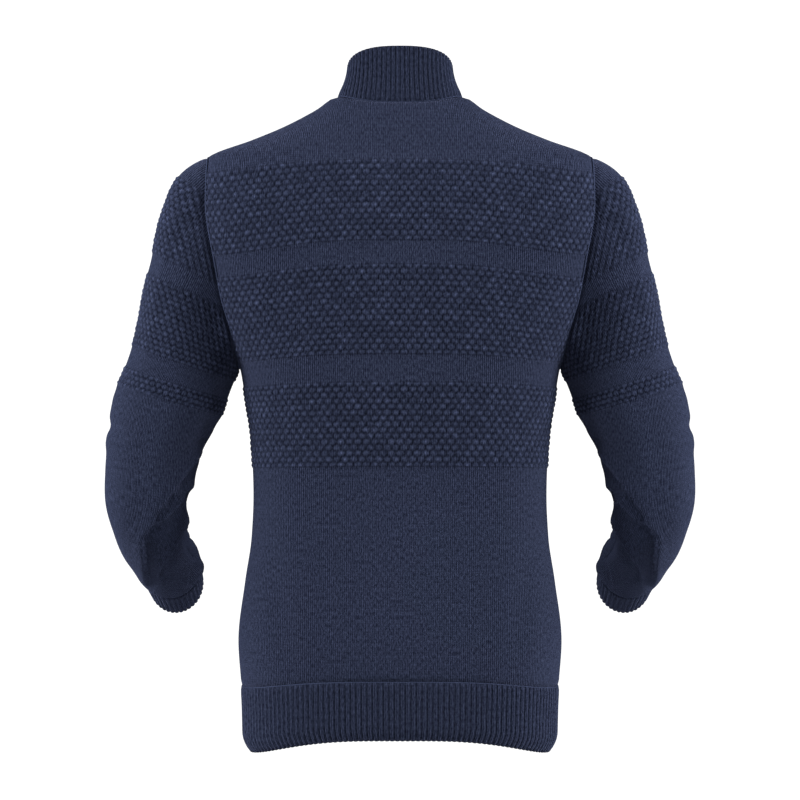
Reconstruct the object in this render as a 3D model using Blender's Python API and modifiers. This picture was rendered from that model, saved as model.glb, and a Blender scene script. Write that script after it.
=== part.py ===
"""Knitted zip cardigan with a stand collar, built from its cut pieces.

Metres, +Z up, the fronts face -Y and +X is the wearer's left. The origin is
midway between the two side-neck points, where the shoulders carry the garment.
Every cloth piece is a wall cut from one smooth body form or sleeve form.
"""
import math
from collections import namedtuple

import bmesh
import bpy
import numpy as np
from mathutils import Matrix, Vector

# ---------------------------------------------------------------- driving sizes
WALL = 0.0022              # thickness of the knitted cloth
SEAM_GAP = 0.0007          # clearance between two pieces that are sewn together
RIB_RAISE = 0.0010         # how far a rib stands proud of its wall
RIB_PITCH = 0.0056         # one rib and one furrow
FORM_POWER = 2.3           # squareness of the body's sections
ARMPIT_HEIGHT = -0.296
SHOULDER_TIP_HEIGHT = -0.0635
SIDE_NECK_HEIGHT = 0.003
ZIP_HALF_OPENING = 0.0052  # from the middle line to the edge of each front
HEM_ROLL = 0.008           # how far the hem rib curls in at its edge
HEM_ROLL_REACH = 0.020

HALF_COLUMNS = 10          # cells from the middle line to the side, per panel
SIDE_ROWS = 11             # cells from the hem seam to the armpit
ARMHOLE_ROWS = 11          # cells from the armpit to the shoulder tip
SHOULDER_ROWS = 7          # cells along the shoulder seam
CAP_ROWS = 9               # cells from the armhole to the upper arm
ARM_ROWS = 17              # cells from the upper arm to the cuff seam
HEM_ROWS = 3
COLLAR_ROWS = 3
CUFF_ROWS = 2

KNIT_NAVY = (0.024, 0.031, 0.057, 1.0)
RIB_NAVY = (0.021, 0.027, 0.050, 1.0)
TAPE_NAVY = (0.016, 0.020, 0.036, 1.0)
METAL_DARK = (0.14, 0.14, 0.15, 1.0)

# ---------------------------------------------------------------- tables
Section = namedtuple("Section", "height half_width behind ahead")
BODY = [
    Section(-0.720, 0.1720, 0.110, 0.114),
    Section(-0.670, 0.1730, 0.111, 0.116),
    Section(-0.640, 0.1745, 0.112, 0.118),
    Section(-0.594, 0.1775, 0.114, 0.120),
    Section(-0.528, 0.1700, 0.110, 0.117),
    Section(-0.480, 0.1630, 0.106, 0.114),
    Section(-0.435, 0.1610, 0.103, 0.113),
    Section(-0.374, 0.1635, 0.106, 0.118),
    Section(-0.330, 0.1700, 0.111, 0.124),
    Section(-0.296, 0.1755, 0.115, 0.127),
    Section(-0.259, 0.1920, 0.118, 0.129),
    Section(-0.221, 0.2080, 0.120, 0.129),
    Section(-0.178, 0.2220, 0.121, 0.126),
    Section(-0.150, 0.2280, 0.120, 0.120),
    Section(-0.113, 0.2290, 0.114, 0.104),
    Section(-0.095, 0.2260, 0.109, 0.094),
    Section(-0.075, 0.2190, 0.100, 0.080),
    Section(-0.0635, 0.2100, 0.091, 0.071),
    Section(-0.0455, 0.1634, 0.079, 0.060),
    Section(-0.0318, 0.1304, 0.069, 0.049),
    Section(-0.0184, 0.1040, 0.059, 0.039),
    Section(-0.0100, 0.0897, 0.052, 0.032),
    Section(-0.0005, 0.0770, 0.046, 0.028),
    Section(0.0030, 0.0690, 0.043, 0.026),
]

ArmholePoint = namedtuple("ArmholePoint", "height side")
ARMHOLE = [
    ArmholePoint(-0.2960, 0.1755),
    ArmholePoint(-0.2850, 0.1770),
    ArmholePoint(-0.2595, 0.1817),
    ArmholePoint(-0.2215, 0.1926),
    ArmholePoint(-0.1780, 0.2005),
    ArmholePoint(-0.1130, 0.2100),
    ArmholePoint(-0.0635, 0.2100),
]

# how far a knitted row has risen or sunk at the middle of each panel
Course = namedtuple("Course", "at_edge back_middle front_middle")
COURSES = [
    Course(-0.714, -0.692, -0.706),
    Course(-0.643, -0.629, -0.641),
    Course(-0.550, -0.543, -0.549),
    Course(-0.410, -0.407, -0.410),
    Course(-0.350, -0.346, -0.350),
    Course(-0.296, -0.289, -0.298),
    Course(-0.227, -0.217, -0.233),
    Course(-0.178, -0.165, -0.189),
    Course(-0.129, -0.117, -0.150),
    Course(-0.079, -0.0705, -0.115),
    Course(-0.0635, -0.0635, -0.106),
    Course(-0.0455, -0.0480, -0.099),
    Course(-0.0318, -0.0355, -0.0925),
    Course(-0.0184, -0.0240, -0.0860),
    Course(-0.0100, -0.0165, -0.0805),
    Course(0.0030, -0.0070, -0.0750),
]
FRONT_LIFT_POWER = 2.6     # how late a front's rows rise towards the side
YOKE_HEIGHT = -0.150       # above it a front's columns keep the same spacing
YOKE_TURN = 0.30           # the part of a quarter turn that this spacing leaves out

# the left sleeve below the cap: middle of each ring, half width seen from
# behind and half depth seen from the side
ArmRing = namedtuple("ArmRing", "x y z half_width half_depth")
ARM = [
    ArmRing(0.2530, 0.002, -0.3300, 0.0600, 0.0600),
    ArmRing(0.2680, 0.002, -0.3780, 0.0530, 0.0570),
    ArmRing(0.2745, 0.001, -0.4120, 0.0500, 0.0550),
    ArmRing(0.2790, -0.006, -0.4400, 0.0455, 0.0530),
    ArmRing(0.2770, -0.021, -0.4620, 0.0420, 0.0510),
    ArmRing(0.2750, -0.042, -0.4775, 0.0405, 0.0485),
    ArmRing(0.2720, -0.075, -0.4920, 0.0390, 0.0450),
    ArmRing(0.2680, -0.110, -0.5065, 0.0380, 0.0425),
    ArmRing(0.2650, -0.140, -0.5185, 0.0375, 0.0410),
    ArmRing(0.2645, -0.152, -0.5235, 0.0345, 0.0380),
]
CUFF = [
    ArmRing(0.2645, -0.152, -0.5235, 0.0345, 0.0380),
    ArmRing(0.2640, -0.165, -0.5290, 0.0335, 0.0370),
    ArmRing(0.2625, -0.207, -0.5465, 0.0310, 0.0350),
]
CAP_TOP_DIRECTION = (0.95, 0.0, -0.30)
CAP_UNDERARM_DIRECTION = (0.50, 0.0, -0.87)
CAP_START_PULL = 1.10      # share of the chord that the cap leaves the armhole with
CAP_END_PULL = 0.95
CAP_HOLLOW = 0.0105        # how far the cap's outer line falls inside that curve

# folds of the left sleeve: each runs from one point to another, given as the
# distance below the upper arm ring and the angle round the arm
# (0 outer, 90 back, 180 inner, 270 crook); a height below zero is a trough
Fold = namedtuple("Fold", "start start_angle end end_angle half_width height")
SLEEVE_FOLDS = [
    Fold(0.055, 182, 0.158, 92, 0.0085, -0.0065),
    Fold(0.158, 92, 0.235, 80, 0.0080, -0.0050),
    Fold(0.085, 200, 0.165, 128, 0.0080, 0.0050),
    Fold(0.120, 215, 0.175, 120, 0.0075, -0.0055),
    Fold(0.165, 160, 0.215, 105, 0.0075, -0.0040),
    Fold(0.085, 262, 0.110, 190, 0.0090, -0.0060),
    Fold(0.125, 268, 0.140, 330, 0.0090, -0.0060),
]

# folds of the body: distance from the middle line at each end of the fold
BodyFold = namedtuple("BodyFold", "low low_side high high_side half_width height")
BODY_FOLDS = [
    BodyFold(-0.620, 0.120, -0.470, 0.142, 0.016, -0.0025),
    BodyFold(-0.600, 0.070, -0.480, 0.060, 0.020, -0.0018),
]

# the collar's rim, an oval that dips towards the front
RIM_HALF_WIDTH = 0.0575
RIM_BEHIND = 0.0465
RIM_AHEAD = 0.0720
RIM_SIDE_HEIGHT = 0.0315
RIM_TILT = 0.48
RIM_POWER = 2.6
COLLAR_WAIST = 0.0022      # how far the collar draws in between seam and rim

TAPE_INNER_EDGE = 0.0011   # half the gap between the two tapes
TAPE_REACH = 0.0090        # how far a tape runs on behind its front
TAPE_THICKNESS = 0.0008
TAPE_CLEARANCE = 0.0004
CHAIN_HALF_WIDTH = 0.0030
CHAIN_RECESS = 0.0004
CHAIN_THICKNESS = 0.0018
BOX_START = 0.002          # distances along the zip from the hem's edge
BOX_END = 0.0142
PIECE_GAP = 0.0003
SLIDER_BELOW_RIM = 0.014
SLIDER_HALF_LENGTH = 0.0052
SLIDER_HALF_WIDTH = 0.0043
HINGE_OUT = 0.0021         # the pull tab's hinge, from the zip's face and the
HINGE_UP = 0.0011          # slider's middle
PULL_HALF_WIDTH = 0.0026
PULL_THICKNESS = 0.0012
PULL_LENGTH = 0.026
PULL_BAR = 0.0006          # half the thickness of the bar inside the bail
PULL_WINDOW_END = 0.0042
PULL_ARM_INSIDE = 0.0011


# ---------------------------------------------------------------- curves
class Track:
    """A smooth curve through keyed values that never overshoots them."""

    def __init__(self, keys, values):
        order = np.argsort(keys)
        self.keys = np.asarray(keys, float)[order]
        self.values = np.asarray(values, float)[order]
        self.steps = np.diff(self.keys)
        rises = np.diff(self.values) / self.steps
        slopes = np.empty(len(self.keys))
        slopes[0] = rises[0]
        slopes[-1] = rises[-1]
        same_way = rises[:-1] * rises[1:] > 0
        total = np.where(same_way, rises[:-1] + rises[1:], 1.0)
        slopes[1:-1] = np.where(same_way, 2 * rises[:-1] * rises[1:] / total, 0.0)
        self.slopes = slopes

    def __call__(self, key):
        key = np.clip(key, self.keys[0], self.keys[-1])
        cell = np.clip(np.searchsorted(self.keys, key, side="right") - 1, 0, len(self.steps) - 1)
        step = self.steps[cell]
        t = (key - self.keys[cell]) / step
        start = (1 + 2 * t) * (1 - t) ** 2 * self.values[cell]
        leave = t * (1 - t) ** 2 * step * self.slopes[cell]
        end = t * t * (3 - 2 * t) * self.values[cell + 1]
        arrive = t * t * (t - 1) * step * self.slopes[cell + 1]
        return start + leave + end + arrive


def track(table, key, column):
    return Track([getattr(row, key) for row in table], [getattr(row, column) for row in table])


HALF_WIDTH = track(BODY, "height", "half_width")
BEHIND = track(BODY, "height", "behind")
AHEAD = track(BODY, "height", "ahead")
ARMHOLE_SIDE = track(ARMHOLE, "height", "side")
BACK_MIDDLE = track(COURSES, "at_edge", "back_middle")
FRONT_MIDDLE = track(COURSES, "at_edge", "front_middle")


def unit(vectors):
    return vectors / np.linalg.norm(vectors, axis=-1, keepdims=True)


def along(points, shares):
    """Points at given shares of a polyline's length."""
    lengths = np.concatenate([[0.0], np.cumsum(np.linalg.norm(np.diff(points, axis=0), axis=1))])
    places = np.asarray(shares) * lengths[-1]
    return np.stack([np.interp(places, lengths, points[:, axis]) for axis in range(3)], axis=-1)


def grid_normals(grid, inside, closed):
    """Normals of a grid of points, facing away from the points inside it."""
    down = np.gradient(grid, axis=0)
    if closed:
        across = np.roll(grid, -1, axis=1) - np.roll(grid, 1, axis=1)
    else:
        across = np.gradient(grid, axis=1)
    normals = unit(np.cross(down, across))
    if np.sum(normals * (grid - inside)) < 0:
        normals = -normals
    return normals


# ---------------------------------------------------------------- body form
def edge_heights():
    """Heights of the panel rows at the side seam, armhole and shoulder seam."""
    side = np.linspace(COURSES[1].at_edge, ARMPIT_HEIGHT, SIDE_ROWS + 1)
    middle = (ARMPIT_HEIGHT + SHOULDER_TIP_HEIGHT) / 2
    reach = (SHOULDER_TIP_HEIGHT - ARMPIT_HEIGHT) / 2
    turns = np.linspace(0, math.pi, ARMHOLE_ROWS + 1)[1:]
    armhole = middle - reach * np.cos(turns)
    tip_side = float(HALF_WIDTH(SHOULDER_TIP_HEIGHT))
    neck_side = float(HALF_WIDTH(SIDE_NECK_HEIGHT))
    ridge = Track([-row.half_width for row in BODY[-7:]], [row.height for row in BODY[-7:]])
    shoulder = ridge(-np.linspace(tip_side, neck_side, SHOULDER_ROWS + 1)[1:])
    return np.concatenate([side, armhole, shoulder])


def body_fold_depth(side, height):
    """How far the folds push the cloth out at a place on the back or a front."""
    push = 0.0
    for fold in BODY_FOLDS:
        share = np.clip((height - fold.low) / (fold.high - fold.low), -0.4, 1.4)
        centre = fold.low_side + (fold.high_side - fold.low_side) * share
        fade = math.exp(-((share - 0.5) / 0.45) ** 4)
        push += fold.height * fade * math.exp(-((side - centre) / fold.half_width) ** 2)
    return push


def row_lift(share, front):
    """How much of its rise to the side a row has made at a share of its length."""
    if front:
        return math.sin(math.pi / 2 * share) ** FRONT_LIFT_POWER
    return share ** 3 * (share * (6 * share - 15) + 10)


def body_rows(heights, front, columns):
    """Grid of points from the middle line to the edge of one half panel."""
    rows = []
    first = ZIP_HALF_OPENING if front else 0.0
    middle_of = FRONT_MIDDLE if front else BACK_MIDDLE
    depth_of = AHEAD if front else BEHIND
    facing = -1.0 if front else 1.0
    for edge in heights:
        half = float(HALF_WIDTH(edge))
        inside_armhole = ARMPIT_HEIGHT < edge < SHOULDER_TIP_HEIGHT
        side = min(half, float(ARMHOLE_SIDE(edge))) if inside_armhole else half
        last_turn = math.acos(min(1.0, (side / half) ** (FORM_POWER / 2)))
        if front and edge > YOKE_HEIGHT:
            last_turn = max(last_turn, YOKE_TURN)
        row = []
        for share in np.linspace(0, 1, columns + 1):
            turn = math.pi / 2 - share * (math.pi / 2 - last_turn)
            spread = (max(0.0, math.cos(turn)) / math.cos(last_turn)) ** (2 / FORM_POWER)
            x = first + (side - first) * spread
            middle = float(middle_of(edge))
            z = middle + (edge - middle) * row_lift(share, front)
            rest = max(0.0, 1 - (x / float(HALF_WIDTH(z))) ** FORM_POWER)
            y = float(depth_of(z)) * rest ** (1 / FORM_POWER)
            push = body_fold_depth(x, z) * min(1.0, 4 * (1 - share))
            row.append((x, facing * (y + push), z))
        rows.append(row)
    return np.array(rows)


def pull_in(grid, top=True, bottom=True, start=True, end=True):
    """Draw the chosen edges of a grid back by half a seam's clearance."""
    grid = grid.copy()
    half = SEAM_GAP / 2
    if bottom:
        grid[0] += unit(grid[1] - grid[0]) * half
    if top:
        grid[-1] += unit(grid[-2] - grid[-1]) * half
    if start:
        grid[:, 0] += unit(grid[:, 1] - grid[:, 0]) * half
    if end:
        grid[:, -1] += unit(grid[:, -2] - grid[:, -1]) * half
    return grid


def mirror_x(grid):
    return grid * np.array([-1.0, 1.0, 1.0])


def body_axis(grid):
    """Points on the body's upright axis, level with each point of a grid."""
    axis = np.zeros_like(grid)
    axis[..., 2] = grid[..., 2] - 0.05
    return axis


# ---------------------------------------------------------------- sleeve form
def armhole_ring():
    """The armhole seam from the shoulder tip down the back and up the front."""
    heights = edge_heights()[SIDE_ROWS:SIDE_ROWS + ARMHOLE_ROWS + 1]
    back = body_rows(heights, False, 1)[::-1, -1]
    front = body_rows(heights, True, 1)[1:-1, -1]
    return np.concatenate([back, front])


def arm_frames(rings, places):
    """Centre, outward and backward half axes of the arm at places 0 to 1."""
    centres = np.array([(ring.x, ring.y, ring.z) for ring in rings])
    lengths = np.concatenate([[0.0], np.cumsum(np.linalg.norm(np.diff(centres, axis=0), axis=1))])
    keys = lengths / lengths[-1]
    tracks = [Track(keys, centres[:, axis]) for axis in range(3)]
    width = Track(keys, [ring.half_width for ring in rings])
    depth = Track(keys, [ring.half_depth for ring in rings])
    frames = []
    for place in places:
        centre = np.array([float(curve(place)) for curve in tracks])
        ahead = np.array([float(curve(min(1.0, place + 0.01))) for curve in tracks])
        astern = np.array([float(curve(max(0.0, place - 0.01))) for curve in tracks])
        direction = unit(ahead - astern)
        outward = unit(np.array([1.0, 0, 0]) - direction[0] * direction)
        backward = np.cross(outward, direction)
        frames.append((centre, direction, outward * float(width(place)), backward * float(depth(place))))
    return frames, lengths[-1]


def ring_points(frame, angles):
    centre, _, outward, backward = frame
    return centre + np.outer(np.cos(angles), outward) + np.outer(np.sin(angles), backward)


def sleeve_fold_push(distance, angles, radius):
    """How far the folds push each point of one ring out of the arm."""
    push = np.zeros(len(angles))
    for fold in SLEEVE_FOLDS:
        run = fold.end - fold.start
        sweep = math.radians(fold.end_angle - fold.start_angle) * radius
        middle_angle = math.radians((fold.end_angle + fold.start_angle) / 2)
        turn = (angles - middle_angle + math.pi) % (2 * math.pi) - math.pi
        across = turn * radius + sweep / 2
        down = distance - fold.start
        share = np.clip((down * run + across * sweep) / (run * run + sweep * sweep), 0, 1)
        apart = np.hypot(down - share * run, across - share * sweep)
        push += fold.height * np.exp(-(apart / fold.half_width) ** 2)
    return push


def sleeve_grid():
    """The left sleeve from the armhole to the cuff seam, ring by ring."""
    armhole = armhole_ring()
    count = len(armhole)
    angles = np.linspace(0, 2 * math.pi, count, endpoint=False)
    frames, length = arm_frames(ARM, np.linspace(0, 1, ARM_ROWS + 1))
    upper = ring_points(frames[0], angles)
    chord = np.linalg.norm(upper - armhole, axis=1, keepdims=True)
    blend = ((1 - np.cos(angles)) / 2)[:, None]
    leave = unit(np.array(CAP_TOP_DIRECTION) * (1 - blend) + np.array(CAP_UNDERARM_DIRECTION) * blend)
    rings = []
    insides = []
    middle = armhole.mean(axis=0)
    for t in np.linspace(0, 1, CAP_ROWS + 1)[:-1]:
        start = (1 + 2 * t) * (1 - t) ** 2 * armhole
        out = t * (1 - t) ** 2 * chord * CAP_START_PULL * leave
        end = t * t * (3 - 2 * t) * upper
        into = t * t * (t - 1) * chord * CAP_END_PULL * frames[0][1]
        ring = start + out + end + into
        ring[:, 0] -= CAP_HOLLOW * math.sin(math.pi * t ** 1.5) * np.maximum(0, np.cos(angles))
        rings.append(ring)
        insides.append(np.tile(middle * (1 - t) + frames[0][0] * t, (count, 1)))
    for place, frame in zip(np.linspace(0, 1, ARM_ROWS + 1), frames):
        ring = ring_points(frame, angles)
        radius = (np.linalg.norm(frame[2]) + np.linalg.norm(frame[3])) / 2
        push = sleeve_fold_push(place * length, angles, radius) * min(1.0, 6 * (1 - place))
        rings.append(ring + unit(ring - frame[0]) * push[:, None])
        insides.append(np.tile(frame[0], (count, 1)))
    return np.array(rings), np.array(insides)


# ---------------------------------------------------------------- meshes
COLLECTION = bpy.data.collections.new("cardigan")
CUTTERS = bpy.data.collections.new("slider pieces")


def clear_scene():
    for scene_object in list(bpy.data.objects):
        bpy.data.objects.remove(scene_object, do_unlink=True)
    bpy.context.scene.collection.children.link(COLLECTION)
    bpy.context.scene.collection.children.link(CUTTERS)


def material(name, colour, roughness, metallic):
    made = bpy.data.materials.new(name)
    made.use_nodes = True
    shader = made.node_tree.nodes["Principled BSDF"]
    shader.inputs["Base Color"].default_value = colour
    shader.inputs["Roughness"].default_value = roughness
    shader.inputs["Metallic"].default_value = metallic
    made.diffuse_color = colour
    return made


def add_object(name, mesh, finish):
    made = bpy.data.objects.new(name, mesh)
    made.data.materials.append(finish)
    COLLECTION.objects.link(made)
    return made


def cloth_wall(name, grid, inside, closed, thickness, finish):
    """An open sheet shaped from a grid of points, thickened inwards."""
    facing = np.cross(np.gradient(grid, axis=0), np.gradient(grid, axis=1))
    if np.sum(grid_normals(grid, inside, closed) * facing) < 0:
        grid = grid[:, ::-1]
    rows, columns = grid.shape[:2]
    if closed:
        grid = np.concatenate([grid, grid[:, :1]], axis=1)
        columns += 1
    bm = bmesh.new()
    bmesh.ops.create_grid(bm, x_segments=rows - 1, y_segments=columns - 1, size=1)
    bm.verts.ensure_lookup_table()
    places = grid.reshape(-1, 3)
    order = sorted(bm.verts, key=lambda vert: (round(vert.co.x, 5), round(vert.co.y, 5)))
    for vert, place in zip(order, places):
        vert.co = place
    if closed:
        bmesh.ops.remove_doubles(bm, verts=bm.verts, dist=0.00001)
    mesh = bpy.data.meshes.new(name)
    bm.to_mesh(mesh)
    bm.free()
    mesh.shade_smooth()
    made = add_object(name, mesh, finish)
    wall = made.modifiers.new("cloth", "SOLIDIFY")
    wall.thickness = thickness
    wall.offset = -1
    wall.use_even_offset = False
    return made


def zip_strip(bm, first, first_places, second, second_places):
    """Triangles between two rows of vertices that run side by side."""
    i = 0
    j = 0
    while i < len(first) - 1 or j < len(second) - 1:
        at_end = i == len(first) - 1
        if not at_end and (j == len(second) - 1 or first_places[i + 1] <= second_places[j + 1]):
            bm.faces.new((first[i], first[i + 1], second[j]))
            i += 1
        else:
            bm.faces.new((first[i], second[j + 1], second[j]))
            j += 1


def ribbed_wall(name, grid, inside, closed, finish):
    """A wall with ribs raised on its outer points over a plain inside."""
    if closed:
        loop = np.concatenate([grid, grid[:, :1]], axis=1)
    else:
        loop = grid
    middle_row = loop[len(loop) // 2]
    girth = np.sum(np.linalg.norm(np.diff(middle_row, axis=0), axis=1))
    fine = 2 * int(round(girth / RIB_PITCH))
    shares = np.linspace(0, 1, fine + 1)
    normals = grid_normals(grid, inside, closed)
    around = np.concatenate([normals, normals[:, :1]], axis=1) if closed else normals
    outer = np.array([along(row, shares) for row in loop])
    coarse_places = []
    for row in loop:
        steps = np.concatenate([[0.0], np.cumsum(np.linalg.norm(np.diff(row, axis=0), axis=1))])
        coarse_places.append(steps / steps[-1])
    raised = np.arange(fine + 1) % 2
    for index, row in enumerate(around):
        facing = np.stack([np.interp(shares, coarse_places[index], row[:, axis]) for axis in range(3)], -1)
        outer[index] += unit(facing) * (raised * RIB_RAISE)[:, None]
    inner = loop - around * WALL

    bm = bmesh.new()
    if closed:
        outer = outer[:, :-1]
        inner = inner[:, :-1]
    outer_verts = [[bm.verts.new(place) for place in row] for row in outer]
    inner_verts = [[bm.verts.new(place) for place in row] for row in inner]
    if closed:
        outer_verts = [row + row[:1] for row in outer_verts]
        inner_verts = [row + row[:1] for row in inner_verts]
    for verts in (outer_verts, inner_verts):
        for low, high in zip(verts, verts[1:]):
            for k in range(len(low) - 1):
                bm.faces.new((low[k], low[k + 1], high[k + 1], high[k]))
    for index in (0, -1):
        zip_strip(bm, outer_verts[index], shares, inner_verts[index], coarse_places[index])
    if not closed:
        for index in (0, -1):
            for k in range(len(outer_verts) - 1):
                bm.faces.new((outer_verts[k][index], outer_verts[k + 1][index],
                              inner_verts[k + 1][index], inner_verts[k][index]))
    bmesh.ops.recalc_face_normals(bm, faces=bm.faces)
    if bm.calc_volume(signed=True) < 0:
        bmesh.ops.reverse_faces(bm, faces=bm.faces)
    mesh = bpy.data.meshes.new(name)
    bm.to_mesh(mesh)
    bm.free()
    return add_object(name, mesh, finish)


# ---------------------------------------------------------------- garment pieces
def panels(knit):
    """The back, cut in one, and the two fronts."""
    heights = edge_heights()
    half_back = body_rows(heights, False, HALF_COLUMNS)
    back = np.concatenate([mirror_x(half_back)[:, :0:-1], half_back], axis=1)
    back = pull_in(back)
    cloth_wall("back", back, body_axis(back), False, WALL, knit)
    front = pull_in(body_rows(heights, True, HALF_COLUMNS), start=False)
    cloth_wall("front_left", front, body_axis(front), False, WALL, knit)
    front = mirror_x(front)
    cloth_wall("front_right", front, body_axis(front), False, WALL, knit)


def hem_grid(front):
    """The hem rib's outer form, from its seam to its curled edge."""
    heights = np.linspace(COURSES[1].at_edge, COURSES[0].at_edge, HEM_ROWS + 1)
    grid = body_rows(heights, front, HALF_COLUMNS)
    middle = FRONT_MIDDLE if front else BACK_MIDDLE
    for row, height in zip(grid, heights):
        above_edge = height - COURSES[0].at_edge
        curl = HEM_ROLL * max(0.0, 1 - above_edge / HEM_ROLL_REACH) ** 2
        shrink = 1 - curl / float(HALF_WIDTH(height))
        row[:, :2] *= shrink
    return grid


def hems(rib):
    """The hem ribs, knitted on below the back and each front."""
    half_back = hem_grid(False)
    back = np.concatenate([mirror_x(half_back)[:, :0:-1], half_back], axis=1)
    back = pull_in(back, top=False)
    ribbed_wall("hem_back", back, body_axis(back), False, rib)
    front = hem_grid(True)
    front[:, 0, 0] = ZIP_HALF_OPENING
    front = pull_in(front, top=False, start=False)
    ribbed_wall("hem_left", front, body_axis(front), False, rib)
    front = mirror_x(front)
    ribbed_wall("hem_right", front, body_axis(front), False, rib)


def rim_point(turn):
    """A point of the collar's rim, turn 0 at the back and pi at the front."""
    across = math.copysign(abs(math.sin(turn)) ** (2 / RIM_POWER), math.sin(turn))
    deep = math.copysign(abs(math.cos(turn)) ** (2 / RIM_POWER), math.cos(turn))
    y = deep * (RIM_BEHIND if deep > 0 else RIM_AHEAD)
    return (RIM_HALF_WIDTH * across, y, RIM_SIDE_HEIGHT + RIM_TILT * y)


def rim_line(first_turn, last_turn, shares):
    dense = np.array([rim_point(turn) for turn in np.linspace(first_turn, last_turn, 91)])
    return along(dense, shares)


def shares_of(points):
    lengths = np.concatenate([[0.0], np.cumsum(np.linalg.norm(np.diff(points, axis=0), axis=1))])
    return lengths / lengths[-1]


def collar_grid():
    """The collar from the left front edge round the back to the right."""
    top = edge_heights()[-1:]
    front = body_rows(top, True, HALF_COLUMNS)[0]
    back = body_rows(top, False, HALF_COLUMNS)[0]
    front_rim = rim_line(math.pi, math.pi / 2, shares_of(front))
    front_rim[:, 0] = np.maximum(front_rim[:, 0], ZIP_HALF_OPENING)
    back_rim = rim_line(0, math.pi / 2, shares_of(back))
    base = np.concatenate([front, back[-2::-1]])
    rim = np.concatenate([front_rim, back_rim[-2::-1]])
    base = np.concatenate([base, mirror_x(base)[-2::-1]])
    rim = np.concatenate([rim, mirror_x(rim)[-2::-1]])
    rows = []
    for share in np.linspace(0, 1, COLLAR_ROWS + 1):
        row = base * (1 - share) + rim * share
        outward = unit(row * np.array([1.0, 1.0, 0.0]))
        drawn = row - outward * COLLAR_WAIST * 4 * share * (1 - share)
        drawn[[0, -1], 0] = row[[0, -1], 0]
        rows.append(drawn)
    return np.array(rows)


def collar(rib):
    grid = pull_in(collar_grid(), top=False, start=False, end=False)
    ribbed_wall("collar", grid, body_axis(grid), False, rib)


def sleeves(knit, rib):
    """The set-in sleeves with their ribbed cuffs."""
    grid, inside = sleeve_grid()
    grid = pull_in(grid, start=False, end=False)
    count = grid.shape[1]
    angles = np.linspace(0, 2 * math.pi, count, endpoint=False)
    frames, _ = arm_frames(CUFF, np.linspace(0, 1, CUFF_ROWS + 1))
    cuff = np.array([ring_points(frame, angles) for frame in frames])
    cuff[0] = sleeve_grid()[0][-1]
    cuff = pull_in(cuff, top=False, start=False, end=False)
    cuff_inside = np.array([np.tile(frame[0], (count, 1)) for frame in frames])
    for side, place in (("left", lambda points: points), ("right", mirror_x)):
        cloth_wall("sleeve_" + side, place(grid), place(inside), True, WALL, knit)
        ribbed_wall("cuff_" + side, place(cuff), place(cuff_inside), True, rib)


def zip_edge():
    """Two columns of points along the left front's edge, hem to rim."""
    hem = hem_grid(True)[::-1]
    hem[:, 0, 0] = ZIP_HALF_OPENING
    front = body_rows(edge_heights(), True, HALF_COLUMNS)[1:]
    stand = collar_grid()[1:, :HALF_COLUMNS + 1]
    rows = []
    for row in (*hem, *front, *stand):
        girth = np.sum(np.linalg.norm(np.diff(row, axis=0), axis=1))
        rows.append([row[0], along(row, [TAPE_REACH / girth])[0]])
    return np.array(rows)


def zip_path():
    """The zip's middle line, with its outward normals and running length."""
    edge = zip_edge()
    normals = grid_normals(edge, body_axis(edge), False)[:, 0]
    normals[:, 0] = 0
    points = edge[:, 0] * np.array([0.0, 1.0, 1.0])
    lengths = np.concatenate([[0.0], np.cumsum(np.linalg.norm(np.diff(points, axis=0), axis=1))])
    return points, unit(normals), lengths


def path_between(start, end):
    """The zip's middle line and normals from one running length to another."""
    points, normals, lengths = zip_path()
    places = np.concatenate([[start], lengths[(lengths > start) & (lengths < end)], [end]])
    read = [np.stack([np.interp(places, lengths, values[:, axis]) for axis in range(3)], -1)
            for values in (points, normals)]
    return read[0], unit(read[1])


def zip_tapes(tape):
    edge = zip_edge()
    lengths = zip_path()[2]
    normals = grid_normals(edge, body_axis(edge), False)
    behind = edge - normals * (WALL + TAPE_CLEARANCE)
    inner = behind[:, :1] * np.array([0.0, 1.0, 1.0]) + np.array([TAPE_INNER_EDGE, 0.0, 0.0])
    strip = np.concatenate([inner, behind], axis=1)
    start = (BOX_END + PIECE_GAP - lengths[0]) / (lengths[1] - lengths[0])
    strip[0] += (strip[1] - strip[0]) * start
    strip[-1] += unit(strip[-2] - strip[-1]) * BOX_START
    cloth_wall("zip_tape_left", strip, body_axis(strip), False, TAPE_THICKNESS, tape)
    strip = mirror_x(strip)
    cloth_wall("zip_tape_right", strip, body_axis(strip), False, TAPE_THICKNESS, tape)


def zip_chain(metal):
    """The closed rows of teeth, between the bottom box and the slider."""
    length = zip_path()[2][-1]
    end = length - SLIDER_BELOW_RIM - SLIDER_HALF_LENGTH - PIECE_GAP
    points, normals = path_between(BOX_END + PIECE_GAP, end)
    face = points - normals * CHAIN_RECESS
    reach = np.array([CHAIN_HALF_WIDTH, 0.0, 0.0])
    strip = np.stack([face - reach, face, face + reach], axis=1)
    cloth_wall("zip_chain", strip, body_axis(strip), False, CHAIN_THICKNESS, metal)


def zip_frame(place):
    """Matrix whose Z runs up the zip and whose -Y is out of its face."""
    points, normals = path_between(place - 0.001, place + 0.001)
    up = unit(points[-1] - points[0])
    inward = unit(-normals[0] + np.dot(normals[0], up) * up)
    across = np.cross(inward, up)
    origin = (points[0] + points[-1]) / 2
    return Matrix([(across[axis], inward[axis], up[axis], origin[axis]) for axis in range(3)]
                  + [(0, 0, 0, 1)])


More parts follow.
